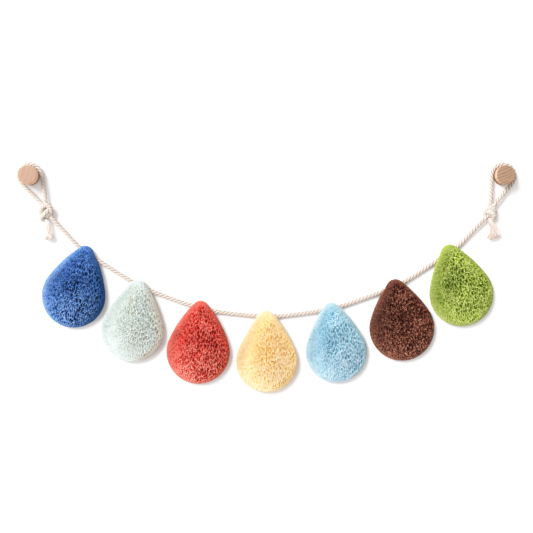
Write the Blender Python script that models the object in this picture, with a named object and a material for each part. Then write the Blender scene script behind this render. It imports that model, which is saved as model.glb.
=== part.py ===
"""Raindrop garland with wall pegs.

Seven thick cut-pile raindrops hang on a three-strand rope, which is looped over two round wall pegs
and knotted under each of them. Metres, +Z up, +X along the garland, +Y into the wall. The origin is
the middle of the left peg's back face, where it meets the wall.
"""

import math

import bmesh
import bpy
from mathutils import Matrix, Vector

# Driving dimensions
PEG_SPACING = 0.8000
PEG_RADIUS = 0.0160
PEG_LENGTH = 0.0360
PEG_BEVEL = 0.0012
PEG_SIDES = 40

ROPE_DIAMETER = 0.0065
ROPE_VALLEY = 0.74
ROPE_LAY = 0.0200
STEPS_PER_LAY = 8
GAP = 0.0003

DROP_BACK = -0.0008
DROP_RIM = -0.0085
DROP_FRONT = -0.0268
BELLY_RADIUS = 0.0533
TIP_RADIUS = 0.0166
TIP_RISE = 0.0731
SIDE_RADIUS = 0.1320
DROP_ARC_STEPS = {"belly": 9, "side": 6, "tip": 5}
LUMP_HEIGHT = 0.0009
SWELL_LENGTH = 0.0560
RIPPLE_LENGTH = 0.0290
RIPPLE_SHARE = 0.4
PHASE_STEP = 1.9
CHANNEL_CLEARANCE = 0.0004
CHANNEL_SIDES = 10

STRAND_SIDES = 4
CURVE_PIECES = 24
SAME_POINT = 1e-6

# One row a raindrop: the belly's centre, how far the tip leans to +X, and its size against the others
DROP_COLUMNS = ("name", "x", "z", "lean_deg", "size", "colour")
DROPS = (
    ("drop_blue", 0.0733, -0.2031, 15.1, 1.00, (0.050, 0.125, 0.340)),
    ("drop_mint", 0.1735, -0.2624, 7.6, 1.01, (0.620, 0.700, 0.640)),
    ("drop_coral", 0.2840, -0.2997, 2.1, 1.00, (0.620, 0.085, 0.065)),
    ("drop_yellow", 0.4008, -0.3134, -0.2, 0.98, (0.950, 0.660, 0.290)),
    ("drop_sky", 0.5177, -0.2989, -6.3, 0.98, (0.330, 0.560, 0.680)),
    ("drop_brown", 0.6302, -0.2582, -9.0, 1.01, (0.120, 0.045, 0.032)),
    ("drop_green", 0.7301, -0.2014, -14.5, 1.00, (0.270, 0.360, 0.060)),
)

# The drop's section from the wall to the rim, a row for each ring: inset from the outline, and depth
DROP_SIDE = (
    (0.0042, DROP_BACK),
    (0.0012, -0.0040),
    (0.0000, DROP_RIM),
)
# The crown's rows: the share of the way from the rim to the drop's middle line
CROWN_STEPS = (0.06, 0.17, 0.34, 0.56, 0.80)
CROWN_POWER = 2.2
CROWN_HEAD = 0.62

# The rope's route from knot to knot, bending only inside each drop
SPAN_ROUTE = (
    (0.0372, -0.0100, -0.0719),
    (0.0560, -0.0080, -0.0919),
    (0.0826, -0.0055, -0.1202),
    (0.1147, -0.0055, -0.1422),
    (0.1706, -0.0055, -0.1777),
    (0.2061, -0.0055, -0.1947),
    (0.2722, -0.0055, -0.2189),
    (0.3111, -0.0055, -0.2285),
    (0.3805, -0.0055, -0.2365),
    (0.4178, -0.0055, -0.2373),
    (0.4914, -0.0055, -0.2279),
    (0.5261, -0.0055, -0.2201),
    (0.5938, -0.0055, -0.1960),
    (0.6340, -0.0055, -0.1783),
    (0.6900, -0.0055, -0.1419),
    (0.7234, -0.0055, -0.1192),
    (0.7492, -0.0080, -0.0924),
    (0.7684, -0.0100, -0.0723),
)

# Each loop leaves its knot beside the standing part, goes over its peg and comes back down to the knot
LOOP_ROUTES = {
    "left": (
        (0.0184, -0.0104, -0.0459),
        (0.0085, -0.0098, -0.0361),
        (-0.0023, -0.0092, -0.0254),
        (-0.0138, -0.0090, -0.0139),
        (-0.0190, -0.0090, -0.0047),
        (-0.0188, -0.0090, 0.0055),
        (-0.0138, -0.0090, 0.0139),
        (-0.0051, -0.0090, 0.0189),
        (0.0049, -0.0090, 0.0190),
        (0.0138, -0.0090, 0.0139),
        (0.0191, -0.0090, 0.0045),
        (0.0214, -0.0094, -0.0080),
        (0.0235, -0.0098, -0.0215),
        (0.0252, -0.0103, -0.0340),
        (0.0262, -0.0108, -0.0450),
    ),
    "right": (
        (0.7849, -0.0104, -0.0486),
        (0.7942, -0.0098, -0.0375),
        (0.8043, -0.0092, -0.0253),
        (0.8150, -0.0090, -0.0125),
        (0.8193, -0.0090, -0.0032),
        (0.8184, -0.0090, 0.0066),
        (0.8125, -0.0090, 0.0151),
        (0.8034, -0.0090, 0.0193),
        (0.7935, -0.0090, 0.0185),
        (0.7850, -0.0090, 0.0126),
        (0.7806, -0.0090, 0.0027),
        (0.7799, -0.0094, -0.0090),
        (0.7796, -0.0098, -0.0220),
        (0.7788, -0.0103, -0.0350),
        (0.7780, -0.0108, -0.0480),
    ),
}

# Each knot: the centre and half size of the ball in its middle, then the turns of rope round it
KNOT_CORES = {
    "left": ((0.0282, -0.0100, -0.0602), (0.0088, 0.0076, 0.0108)),
    "right": ((0.7773, -0.0100, -0.0622), (0.0084, 0.0074, 0.0088)),
}
KNOT_TURNS = {
    "left": (
        (
            (0.0202, -0.0072, -0.0640),
            (0.0196, -0.0120, -0.0575),
            (0.0238, -0.0145, -0.0512),
            (0.0306, -0.0152, -0.0500),
            (0.0358, -0.0142, -0.0545),
            (0.0372, -0.0108, -0.0612),
            (0.0338, -0.0070, -0.0668),
        ),
        (
            (0.0330, -0.0100, -0.0560),
            (0.0304, -0.0156, -0.0596),
            (0.0266, -0.0172, -0.0640),
            (0.0226, -0.0146, -0.0690),
            (0.0216, -0.0088, -0.0694),
            (0.0250, -0.0052, -0.0650),
        ),
        (
            (0.0212, -0.0070, -0.0562),
            (0.0258, -0.0042, -0.0588),
            (0.0302, -0.0042, -0.0622),
            (0.0346, -0.0070, -0.0656),
        ),
    ),
    "right": (
        (
            (0.7716, -0.0060, -0.0670),
            (0.7688, -0.0108, -0.0628),
            (0.7698, -0.0146, -0.0572),
            (0.7752, -0.0160, -0.0540),
            (0.7812, -0.0150, -0.0552),
            (0.7858, -0.0116, -0.0592),
            (0.7854, -0.0072, -0.0640),
        ),
        (
            (0.7712, -0.0118, -0.0610),
            (0.7752, -0.0160, -0.0612),
            (0.7802, -0.0168, -0.0630),
            (0.7842, -0.0140, -0.0668),
            (0.7842, -0.0092, -0.0706),
            (0.7800, -0.0052, -0.0700),
        ),
        (
            (0.7708, -0.0070, -0.0650),
            (0.7752, -0.0042, -0.0624),
            (0.7796, -0.0042, -0.0596),
            (0.7840, -0.0070, -0.0570),
        ),
    ),
}
STUB_STRAIGHT = 0.35

# Each rope end below its knot, then where its frayed locks reach: x, depth, z and thickness
TAIL_ROUTES = {
    "left": (
        (0.0282, -0.0112, -0.0738),
        (0.0300, -0.0114, -0.0795),
        (0.0316, -0.0112, -0.0855),
        (0.0326, -0.0106, -0.0920),
        (0.0332, -0.0100, -0.0965),
    ),
    "right": (
        (0.7769, -0.0112, -0.0716),
        (0.7788, -0.0114, -0.0775),
        (0.7810, -0.0112, -0.0834),
        (0.7836, -0.0106, -0.0885),
        (0.7846, -0.0102, -0.0905),
    ),
}
FRAY_TIPS = {
    "left": (
        (0.0256, -0.0090, -0.1066, 0.0028),
        (0.0280, -0.0142, -0.1080, 0.0029),
        (0.0306, -0.0074, -0.1088, 0.0029),
        (0.0328, -0.0128, -0.1092, 0.0030),
        (0.0352, -0.0080, -0.1078, 0.0029),
        (0.0372, -0.0122, -0.1068, 0.0028),
        (0.0394, -0.0092, -0.1048, 0.0027),
    ),
    "right": (
        (0.7742, -0.0092, -0.1052, 0.0029),
        (0.7764, -0.0140, -0.1070, 0.0030),
        (0.7788, -0.0080, -0.1078, 0.0030),
        (0.7812, -0.0126, -0.1068, 0.0029),
        (0.7858, -0.0078, -0.1040, 0.0028),
        (0.7882, -0.0130, -0.1044, 0.0029),
        (0.7910, -0.0086, -0.1034, 0.0029),
        (0.7944, -0.0108, -0.1004, 0.0028),
    ),
}
# Where a lock sets out inside the rope, and the share of its sideways reach at its root, at the
# rope's end and at a point part way to its tip
FRAY_ROOT = 0.0040
FRAY_ROOT_SPREAD = 0.12
FRAY_END_SPREAD = 0.14
FRAY_MIDDLE_SPREAD = 0.42
FRAY_MIDDLE = 0.30
FRAY_SPACING = 0.0035
FRAY_TAPER = 0.8

COTTON = (0.86, 0.80, 0.73)
BEECH = (0.72, 0.48, 0.33)


def clear_scene():
    for obj in list(bpy.data.objects):
        bpy.data.objects.remove(obj, do_unlink=True)


def principled(name, colour, roughness):
    """A plain Principled BSDF material of one colour."""
    material = bpy.data.materials.new(name)
    material.use_nodes = True
    shader = material.node_tree.nodes["Principled BSDF"]
    shader.inputs["Base Color"].default_value = (*colour, 1.0)
    shader.inputs["Roughness"].default_value = roughness
    shader.inputs["Metallic"].default_value = 0.0
    return material


def add_object(name, bm, material, parent=None):
    """Turns a bmesh into a named, smooth-shaded object."""
    bmesh.ops.recalc_face_normals(bm, faces=bm.faces)
    mesh = bpy.data.meshes.new(name)
    bm.to_mesh(mesh)
    bm.free()
    mesh.shade_smooth()
    mesh.set_sharp_from_angle(angle=math.radians(40))
    obj = bpy.data.objects.new(name, mesh)
    bpy.context.scene.collection.objects.link(obj)
    if material is not None:
        mesh.materials.append(material)
    obj.parent = parent
    return obj


def hide_cutter(obj):
    obj.hide_render = True
    obj.display_type = "WIRE"


def add_boolean(obj, name, operation, other):
    modifier = obj.modifiers.new(name, "BOOLEAN")
    modifier.operation = operation
    modifier.solver = "EXACT"
    modifier.object = other


def smooth_curve(points, spacing):
    """Points about `spacing` apart on a centripetal Catmull-Rom curve through `points`."""
    control = [Vector(p) for p in points]
    control = [control[0] * 2 - control[1], *control, control[-1] * 2 - control[-2]]
    dense = []
    for p0, p1, p2, p3 in zip(control, control[1:], control[2:], control[3:]):
        t0 = 0.0
        t1 = t0 + math.sqrt((p1 - p0).length)
        t2 = t1 + math.sqrt((p2 - p1).length)
        t3 = t2 + math.sqrt((p3 - p2).length)
        for step in range(CURVE_PIECES):
            t = t1 + (t2 - t1) * step / CURVE_PIECES
            a1 = p0 * ((t1 - t) / (t1 - t0)) + p1 * ((t - t0) / (t1 - t0))
            a2 = p1 * ((t2 - t) / (t2 - t1)) + p2 * ((t - t1) / (t2 - t1))
            a3 = p2 * ((t3 - t) / (t3 - t2)) + p3 * ((t - t2) / (t3 - t2))
            b1 = a1 * ((t2 - t) / (t2 - t0)) + a2 * ((t - t0) / (t2 - t0))
            b2 = a2 * ((t3 - t) / (t3 - t1)) + a3 * ((t - t1) / (t3 - t1))
            dense.append(b1 * ((t2 - t) / (t2 - t1)) + b2 * ((t - t1) / (t2 - t1)))
    dense.append(control[-2])
    return even_points(dense, spacing)


def even_points(dense, spacing):
    """The polyline `dense` read again at equal steps of about `spacing`."""
    reach = [0.0]
    for a, b in zip(dense, dense[1:]):
        reach.append(reach[-1] + (b - a).length)
    count = max(2, round(reach[-1] / spacing))
    found = []
    index = 0
    for step in range(count + 1):
        want = reach[-1] * step / count
        while index < len(dense) - 2 and reach[index + 1] < want:
            index += 1
        span = reach[index + 1] - reach[index]
        share = min(1.0, (want - reach[index]) / span)
        found.append(dense[index].lerp(dense[index + 1], share))
    return found


def carried_frames(points):
    """At each point, two unit vectors across the path, turned no more than the path itself turns."""
    tangents = []
    for index in range(len(points)):
        before = points[max(0, index - 1)]
        after = points[min(len(points) - 1, index + 1)]
        tangents.append((after - before).normalized())
    side = tangents[0].cross(Vector((0.0, 1.0, 0.0))).normalized()
    frames = []
    for index, tangent in enumerate(tangents):
        if index:
            turn = tangents[index - 1].rotation_difference(tangent)
            side = turn @ side
        side = (side - tangent * side.dot(tangent)).normalized()
        frames.append((side, tangent.cross(side)))
    return frames


def sweep(bm, rings):
    """Skins a list of equal rings of points and closes both ends.

    Each side is split from a ring's corner to the next ring's next corner, which keeps a left-hand
    twist's ridges unbroken.
    """
    loops = [[bm.verts.new(p) for p in ring] for ring in rings]
    count = len(loops[0])
    for low, high in zip(loops, loops[1:]):
        for i in range(count):
            j = (i + 1) % count
            bm.faces.new((low[i], low[j], high[j]))
            bm.faces.new((low[i], high[j], high[i]))
    bm.faces.new(list(reversed(loops[0])))
    bm.faces.new(loops[-1])


def lay_turn(points):
    """How far a rope's left-hand lay has turned over the length of `points`, in radians."""
    length = sum((b - a).length for a, b in zip(points, points[1:]))
    return -2 * math.pi * length / ROPE_LAY


def rope_rings(points, start_turn=0.0):
    """Rings of a three-strand rope: six points, ridge and valley by turns, that turn with the lay."""
    radius = ROPE_DIAMETER / 2
    frames = carried_frames(points)
    rings = []
    for index, point in enumerate(points):
        twist = start_turn + lay_turn(points[: index + 1])
        side, up = frames[index]
        ring = []
        for corner in range(6):
            angle = twist + corner * math.pi / 3
            reach = radius * (ROPE_VALLEY if corner % 2 else 1.0)
            ring.append(point + side * (reach * math.cos(angle)) + up * (reach * math.sin(angle)))
        rings.append(ring)
    return rings


def round_rings(points, radius, sides, taper=1.0):
    """Rings of a plain round tube, `taper` times as thick at its far end."""
    frames = carried_frames(points)
    rings = []
    for index, point in enumerate(points):
        side, up = frames[index]
        here = radius * (1 + (taper - 1) * index / (len(points) - 1))
        ring = []
        for corner in range(sides):
            angle = 2 * math.pi * corner / sides
            ring.append(point + side * (here * math.cos(angle)) + up * (here * math.sin(angle)))
        rings.append(ring)
    return rings


def rope_points(route):
    return smooth_curve(route, ROPE_LAY / STEPS_PER_LAY)


def make_rope(name, route, material, parent):
    bm = bmesh.new()
    sweep(bm, rope_rings(rope_points(route)))
    return add_object(name, bm, material, parent)


def drop_outline(size):
    """The raindrop's outline from the foot up the right side to the tip: points and outward normals.

    A belly circle and a tip circle are joined by one long side arc that touches both of them.
    """
    belly, tip, side, rise = (v * size for v in (BELLY_RADIUS, TIP_RADIUS, SIDE_RADIUS, TIP_RISE))
    to_belly = side - belly
    to_tip = side - tip
    z = (to_belly**2 - to_tip**2 + rise**2) / (2 * rise)
    x = -math.sqrt(to_belly**2 - z**2)
    leave_belly = math.atan2(-z, -x)
    meet_tip = math.atan2(rise - z, -x)
    arcs = (
        ("belly", (0.0, 0.0), belly, -math.pi / 2, leave_belly),
        ("side", (x, z), side, leave_belly, meet_tip),
        ("tip", (0.0, rise), tip, meet_tip, math.pi / 2),
    )
    found = []
    for name, (cx, cz), radius, start, end in arcs:
        steps = DROP_ARC_STEPS[name]
        for step in range(steps):
            angle = start + (end - start) * step / steps
            normal = (math.cos(angle), math.sin(angle))
            found.append(((cx + radius * normal[0], cz + radius * normal[1]), normal))
    found.append(((0.0, rise + tip), (0.0, 1.0)))
    return found


def lump(x, z, phase):
    """The slow unevenness of a hand-clipped pile, from -1 to 1: a broad swell and a closer ripple."""
    turn = 2 * math.pi / SWELL_LENGTH
    swell = math.sin(turn * x + phase) * math.cos(turn * z - phase)
    ripple = math.sin(2 * math.pi * (x - z) / RIPPLE_LENGTH + 2 * phase)
    return (1 - RIPPLE_SHARE) * swell + RIPPLE_SHARE * ripple


def drop_mesh(row, phase):
    """A raindrop standing upright about its belly's centre: flat back, full rim and a domed crown."""
    size = row["size"]
    half = drop_outline(size)
    mirrored = [((-x, z), (-nx, nz)) for (x, z), (nx, nz) in reversed(half[1:-1])]
    outline = half + mirrored
    count = len(outline)
    head = CROWN_HEAD * TIP_RISE * size
    bm = bmesh.new()
    rings = []
    for inset, depth in DROP_SIDE:
        ring = [(x - nx * inset, depth, z - nz * inset) for (x, z), (nx, nz) in outline]
        rings.append([bm.verts.new(p) for p in ring])
    crown = DROP_FRONT - DROP_RIM
    for share in CROWN_STEPS:
        height = (1 - (1 - share) ** CROWN_POWER) ** (1 / CROWN_POWER)
        ring = []
        for (x, z), _ in outline:
            middle = min(max(z, 0.0), head)
            here_x = x * (1 - share)
            here_z = z + (middle - z) * share
            depth = DROP_RIM + crown * height + LUMP_HEIGHT * lump(here_x, here_z, phase)
            ring.append(bm.verts.new((here_x, depth, here_z)))
        rings.append(ring)
    for low, high in zip(rings, rings[1:]):
        for i in range(count):
            j = (i + 1) % count
            bm.faces.new((low[i], low[j], high[j], high[i]))
    bm.faces.new(list(reversed(rings[0])))
    spine = middle_line(bm, half, head, phase)
    close_crown(bm, rings[-1], spine)
    return bm


def middle_line(bm, half, head, phase):
    """One vertex for each height of the outline, clamped to the crown's middle line, without doubles."""
    spine = []
    for (_, z), _ in half:
        middle = min(max(z, 0.0), head)
        if spine and abs(spine[-1].co.z - middle) < SAME_POINT:
            spine.append(spine[-1])
        else:
            depth = DROP_FRONT + LUMP_HEIGHT * lump(0.0, middle, phase)
            spine.append(bm.verts.new((0.0, depth, middle)))
    return spine


def close_crown(bm, ring, spine):
    """Joins the last ring's two sides to the middle line."""
    count = len(ring)
    top = len(spine) - 1
    for i in range(count):
        j = (i + 1) % count
        near = spine[i if i <= top else count - i]
        far = spine[j if j <= top else count - j]
        corners = [ring[i], ring[j], far]
        if near is not far:
            corners.append(near)
        bm.faces.new(corners)


def make_drop(row, phase, channel, parent):
    bm = drop_mesh(row, phase)
    lean = Matrix.Rotation(math.radians(row["lean_deg"]), 4, "Y")
    bmesh.ops.transform(bm, matrix=lean, verts=bm.verts)
    material = principled(row["name"] + "_wool", row["colour"], 0.95)
    obj = add_object(row["name"], bm, material, parent)
    obj.location = (row["x"], 0.0, row["z"])
    add_boolean(obj, "rope channel", "DIFFERENCE", channel)
    return obj


def make_channel(parent):
    """The cutter along the rope's route that clears its way through every drop."""
    bm = bmesh.new()
    points = smooth_curve(SPAN_ROUTE, ROPE_DIAMETER)
    sweep(bm, round_rings(points, ROPE_DIAMETER / 2 + CHANNEL_CLEARANCE, CHANNEL_SIDES))
    obj = add_object("channel_cutter", bm, None, parent)
    hide_cutter(obj)
    return obj


def make_knot(side, material, parent):
    """A ball of rope with its turns standing out, and a short stub where each rope end meets it."""
    centre, half_size = (Vector(v) for v in KNOT_CORES[side])
    bm = bmesh.new()
    bmesh.ops.create_icosphere(bm, subdivisions=3, radius=1.0)
    shape = Matrix.Translation(centre) @ Matrix.Diagonal((*half_size, 1.0))
    bmesh.ops.transform(bm, matrix=shape, verts=bm.verts)
    knot = add_object("knot_" + side, bm, material, parent)
    joined = [(turn, 0.0) for turn in KNOT_TURNS[side]]
    for end, inward, start_turn in rope_ends(side):
        bend = end + inward * STUB_STRAIGHT * (centre - end).length
        joined.append(((end + inward * GAP, bend, centre), start_turn))
    for index, (route, start_turn) in enumerate(joined):
        bm = bmesh.new()
        sweep(bm, rope_rings(rope_points(route), start_turn))
        turn = add_object(f"knot_{side}_turn_{index}", bm, None, parent)
        hide_cutter(turn)
        add_boolean(knot, turn.name, "UNION", turn)
    return knot


def rope_ends(side):
    """Where four rope ends meet a knot: the point, the way into the knot, and how the lay stands there.

    A rope's first ring, seen along the way into the knot, is half a turn on from a new rope's.
    """
    loop = LOOP_ROUTES[side]
    starts = [loop, TAIL_ROUTES[side]]
    finishes = [loop]
    if side == "left":
        starts.append(SPAN_ROUTE)
    else:
        finishes.append(SPAN_ROUTE)
    ends = [(route[0], route[1], math.pi) for route in starts]
    ends += [(route[-1], route[-2], lay_turn(rope_points(route))) for route in finishes]
    return [
        (Vector(end), (Vector(end) - Vector(beyond)).normalized(), start_turn)
        for end, beyond, start_turn in ends
    ]


def make_tail(side, material, parent):
    """The rope's free end: laid rope that opens into separate frayed strands."""
    route = TAIL_ROUTES[side]
    tail = make_rope("tail_" + side, route, material, parent)
    end = Vector(route[-1])
    along = (end - Vector(route[-2])).normalized()
    for index, (x, depth, z, thickness) in enumerate(FRAY_TIPS[side]):
        tip = Vector((x, depth, z))
        spread = tip - end
        across = spread - along * spread.dot(along)
        root = end - along * FRAY_ROOT + across * FRAY_ROOT_SPREAD
        leave = end + across * FRAY_END_SPREAD
        middle = end + along * FRAY_MIDDLE * spread.length + across * FRAY_MIDDLE_SPREAD
        bm = bmesh.new()
        points = smooth_curve((root, leave, middle, tip), FRAY_SPACING)
        sweep(bm, round_rings(points, thickness / 2, STRAND_SIDES, FRAY_TAPER))
        strand = add_object(f"tail_{side}_strand_{index}", bm, None, parent)
        hide_cutter(strand)
        add_boolean(tail, strand.name, "UNION", strand)
    return tail


def make_peg(name, x, material, parent):
    """A plain round peg whose back face lies on the wall, with a small bevel round its front."""
    bm = bmesh.new()
    turn_outwards = Matrix.Rotation(math.radians(90), 4, "X")
    place = Matrix.Translation((0.0, -PEG_LENGTH / 2, 0.0)) @ turn_outwards
    bmesh.ops.create_cone(
        bm,
        cap_ends=True,
        segments=PEG_SIDES,
        radius1=PEG_RADIUS,
        radius2=PEG_RADIUS,
        depth=PEG_LENGTH,
        matrix=place,
    )
    front = [e for e in bm.edges if all(v.co.y < PEG_BEVEL - PEG_LENGTH for v in e.verts)]
    bmesh.ops.bevel(bm, geom=front, offset=PEG_BEVEL, segments=2, affect="EDGES", profile=0.5)
    peg = add_object(name, bm, material, parent)
    peg.location = (x, 0.0, 0.0)
    return peg


def main():
    clear_scene()
    garland = bpy.data.objects.new("garland", None)
    bpy.context.scene.collection.objects.link(garland)
    cotton = principled("cotton_rope", COTTON, 0.9)
    channel = make_channel(garland)
    for index, values in enumerate(DROPS):
        make_drop(dict(zip(DROP_COLUMNS, values)), index * PHASE_STEP, channel, garland)
    make_rope("rope_span", SPAN_ROUTE, cotton, garland)
    for side in ("left", "right"):
        make_rope("loop_" + side, LOOP_ROUTES[side], cotton, garland)
        make_knot(side, cotton, garland)
        make_tail(side, cotton, garland)
    beech = principled("beech", BEECH, 0.55)
    make_peg("peg_left", 0.0, beech, garland)
    make_peg("peg_right", PEG_SPACING, beech, garland)


main()
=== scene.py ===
"""Looks of the raindrop garland.

Seven raindrops of cut wool pile hang on a laid cotton rope, which is tied over two turned beech pegs.
Metres, +Z up, +X along the garland, +Y into the wall.
"""

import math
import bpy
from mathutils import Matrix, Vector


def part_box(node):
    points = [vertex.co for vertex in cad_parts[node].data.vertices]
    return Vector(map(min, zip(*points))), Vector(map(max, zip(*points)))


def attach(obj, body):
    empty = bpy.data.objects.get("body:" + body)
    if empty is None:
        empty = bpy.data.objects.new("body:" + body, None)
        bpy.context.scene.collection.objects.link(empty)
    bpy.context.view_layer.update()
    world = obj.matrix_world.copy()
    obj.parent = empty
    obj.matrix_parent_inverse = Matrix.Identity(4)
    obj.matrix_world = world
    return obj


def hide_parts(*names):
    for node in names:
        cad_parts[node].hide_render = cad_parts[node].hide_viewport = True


bl_info = {
    "name": "Raindrop garland",
    "version": (1, 0, 0),
    "blender": (4, 5, 0),
    "location": "View3D > Sidebar > Garland",
    "description": "Builds tufted wool raindrops on a laid cotton rope that is tied over two wall pegs",
    "category": "Object",
}

import bmesh
import bpy
import numpy as np
from mathutils import Matrix, Vector, noise
from mathutils.kdtree import KDTree

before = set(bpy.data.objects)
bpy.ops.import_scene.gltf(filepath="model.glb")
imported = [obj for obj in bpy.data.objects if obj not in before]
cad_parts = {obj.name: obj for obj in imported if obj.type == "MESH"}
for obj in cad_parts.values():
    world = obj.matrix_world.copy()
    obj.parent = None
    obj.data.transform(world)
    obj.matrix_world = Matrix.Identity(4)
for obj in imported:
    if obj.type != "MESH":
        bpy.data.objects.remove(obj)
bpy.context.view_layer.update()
BODY = "root"
MM = 0.001
SEED = 11

# Rope routes, the same points as the solids follow
SPAN_ROUTE = (
    (0.0372, -0.0100, -0.0719), (0.0560, -0.0080, -0.0919), (0.0826, -0.0055, -0.1202),
    (0.1147, -0.0055, -0.1422), (0.1706, -0.0055, -0.1777), (0.2061, -0.0055, -0.1947),
    (0.2722, -0.0055, -0.2189), (0.3111, -0.0055, -0.2285), (0.3805, -0.0055, -0.2365),
    (0.4178, -0.0055, -0.2373), (0.4914, -0.0055, -0.2279), (0.5261, -0.0055, -0.2201),
    (0.5938, -0.0055, -0.1960), (0.6340, -0.0055, -0.1783), (0.6900, -0.0055, -0.1419),
    (0.7234, -0.0055, -0.1192), (0.7492, -0.0080, -0.0924), (0.7684, -0.0100, -0.0723),
)
LOOP_ROUTES = {
    "left": (
        (0.0184, -0.0104, -0.0459), (0.0085, -0.0098, -0.0361), (-0.0023, -0.0092, -0.0254),
        (-0.0138, -0.0090, -0.0139), (-0.0190, -0.0090, -0.0047), (-0.0188, -0.0090, 0.0055),
        (-0.0138, -0.0090, 0.0139), (-0.0051, -0.0090, 0.0189), (0.0049, -0.0090, 0.0190),
        (0.0138, -0.0090, 0.0139), (0.0191, -0.0090, 0.0045), (0.0214, -0.0094, -0.0080),
        (0.0235, -0.0098, -0.0215), (0.0252, -0.0103, -0.0340), (0.0262, -0.0108, -0.0450),
    ),
    "right": (
        (0.7849, -0.0104, -0.0486), (0.7942, -0.0098, -0.0375), (0.8043, -0.0092, -0.0253),
        (0.8150, -0.0090, -0.0125), (0.8193, -0.0090, -0.0032), (0.8184, -0.0090, 0.0066),
        (0.8125, -0.0090, 0.0151), (0.8034, -0.0090, 0.0193), (0.7935, -0.0090, 0.0185),
        (0.7850, -0.0090, 0.0126), (0.7806, -0.0090, 0.0027), (0.7799, -0.0094, -0.0090),
        (0.7796, -0.0098, -0.0220), (0.7788, -0.0103, -0.0350), (0.7780, -0.0108, -0.0480),
    ),
}
# The working end of the rope, from the loop round the standing part and out to the free end
KNOT_TURNS = {
    "left": (
        (0.0262, -0.0108, -0.0450), (0.0276, -0.0080, -0.0540), (0.0250, -0.0050, -0.0610),
        (0.0212, -0.0066, -0.0652), (0.0198, -0.0116, -0.0590), (0.0232, -0.0148, -0.0524),
        (0.0292, -0.0156, -0.0500), (0.0346, -0.0146, -0.0540), (0.0362, -0.0122, -0.0610),
        (0.0340, -0.0078, -0.0668), (0.0296, -0.0050, -0.0650), (0.0292, -0.0066, -0.0580),
        (0.0314, -0.0130, -0.0588), (0.0280, -0.0172, -0.0634), (0.0232, -0.0158, -0.0682),
        (0.0212, -0.0108, -0.0722), (0.0240, -0.0084, -0.0738), (0.0282, -0.0112, -0.0738),
    ),
    "right": (
        (0.7780, -0.0108, -0.0480), (0.7764, -0.0080, -0.0560), (0.7730, -0.0052, -0.0640),
        (0.7700, -0.0078, -0.0664), (0.7688, -0.0120, -0.0620), (0.7708, -0.0150, -0.0566),
        (0.7764, -0.0160, -0.0544), (0.7822, -0.0150, -0.0560), (0.7850, -0.0112, -0.0604),
        (0.7826, -0.0066, -0.0640), (0.7764, -0.0054, -0.0606), (0.7716, -0.0100, -0.0592),
        (0.7744, -0.0158, -0.0604), (0.7796, -0.0172, -0.0628), (0.7838, -0.0146, -0.0672),
        (0.7830, -0.0090, -0.0712), (0.7788, -0.0074, -0.0704), (0.7769, -0.0112, -0.0716),
    ),
}
TAIL_ROUTES = {
    "left": (
        (0.0282, -0.0112, -0.0738), (0.0300, -0.0114, -0.0795), (0.0316, -0.0112, -0.0855),
        (0.0326, -0.0106, -0.0920),
    ),
    "right": (
        (0.7769, -0.0112, -0.0716), (0.7788, -0.0114, -0.0775), (0.7810, -0.0112, -0.0834),
        (0.7836, -0.0106, -0.0885),
    ),
}
# Where the frayed locks of a free end reach, and how thick they are
FRAY_TIPS = {
    "left": (
        (0.0256, -0.0090, -0.1066), (0.0280, -0.0124, -0.1080), (0.0304, -0.0086, -0.1088),
        (0.0328, -0.0116, -0.1090), (0.0352, -0.0088, -0.1080), (0.0374, -0.0114, -0.1068),
        (0.0394, -0.0092, -0.1052),
    ),
    "right": (
        (0.7742, -0.0092, -0.1058), (0.7768, -0.0122, -0.1072), (0.7794, -0.0088, -0.1078),
        (0.7818, -0.0116, -0.1072), (0.7852, -0.0088, -0.1052), (0.7882, -0.0118, -0.1046),
        (0.7912, -0.0086, -0.1034), (0.7942, -0.0108, -0.1008),
    ),
}
FRAY_THICKNESS = 0.0024
# Where along a free end its yarns begin to spread, and how suddenly they do
FRAY_SPREAD = {"left": (0.60, 1.3), "right": (0.0, 1.7)}
FRAY_STEP = 0.0015
# The lay of its locks above the fray, and how far under or over its lock's reach a yarn ends
FRAY_LAY = 0.028
FRAY_UNEVEN = (-0.0006, 0.0018)
FIBRES_A_LOCK = 36
FIBRE_RINGS = 16
FIBRE_CORNERS = 3
FIBRE_RADIUS = (0.00040, 0.00060)
FIBRE_WAVER = 0.00010
# The middle and the half size of the crossed rope inside each knot
KNOT_CORES = {
    "left": ((0.0294, -0.0120, -0.0650), (0.0068, 0.0068, 0.0074)),
    "right": ((0.7773, -0.0095, -0.0622), (0.0074, 0.0056, 0.0078)),
}
# The rope in a knot against the rope in the span: its lay, its thickness, and how hard it is pressed flat
KNOT_LAY = 0.75
STANDING_SIZE = 1.04
TURNS_SIZE = 1.18
TURNS_PRESSED = 1.22
# How much of the painted shade between the strands is taken off, where light runs along the grooves:
# in the standing part, the knots and the loops, and at the span's two ends too
STANDING_SHADE_LIFT = 0.1
KNOT_SHADE_LIFT = {"left": 0.25, "right": 0.45}
LOOP_SHADE_LIFT = {"left": 0.55, "right": 0.18}
SPAN_SHADE_LIFT = (0.40, 0.0)
# How far a rope runs on inside its knot
LEAD = 0.0070
RING_STEP = 0.0011
STRAND_CORNERS = 8
CURVE_PIECES = 24
# Three equal round strands that touch fill a rope this many times as thick as one of them
STRANDS_ACROSS = 2.155
# How much wider than round a strand is where its neighbours flatten it
STRAND_FLATTENED = 1.06
# How often a strand's yarns turn back round it while it goes once round the rope
YARN_TURNS = 1.5
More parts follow.
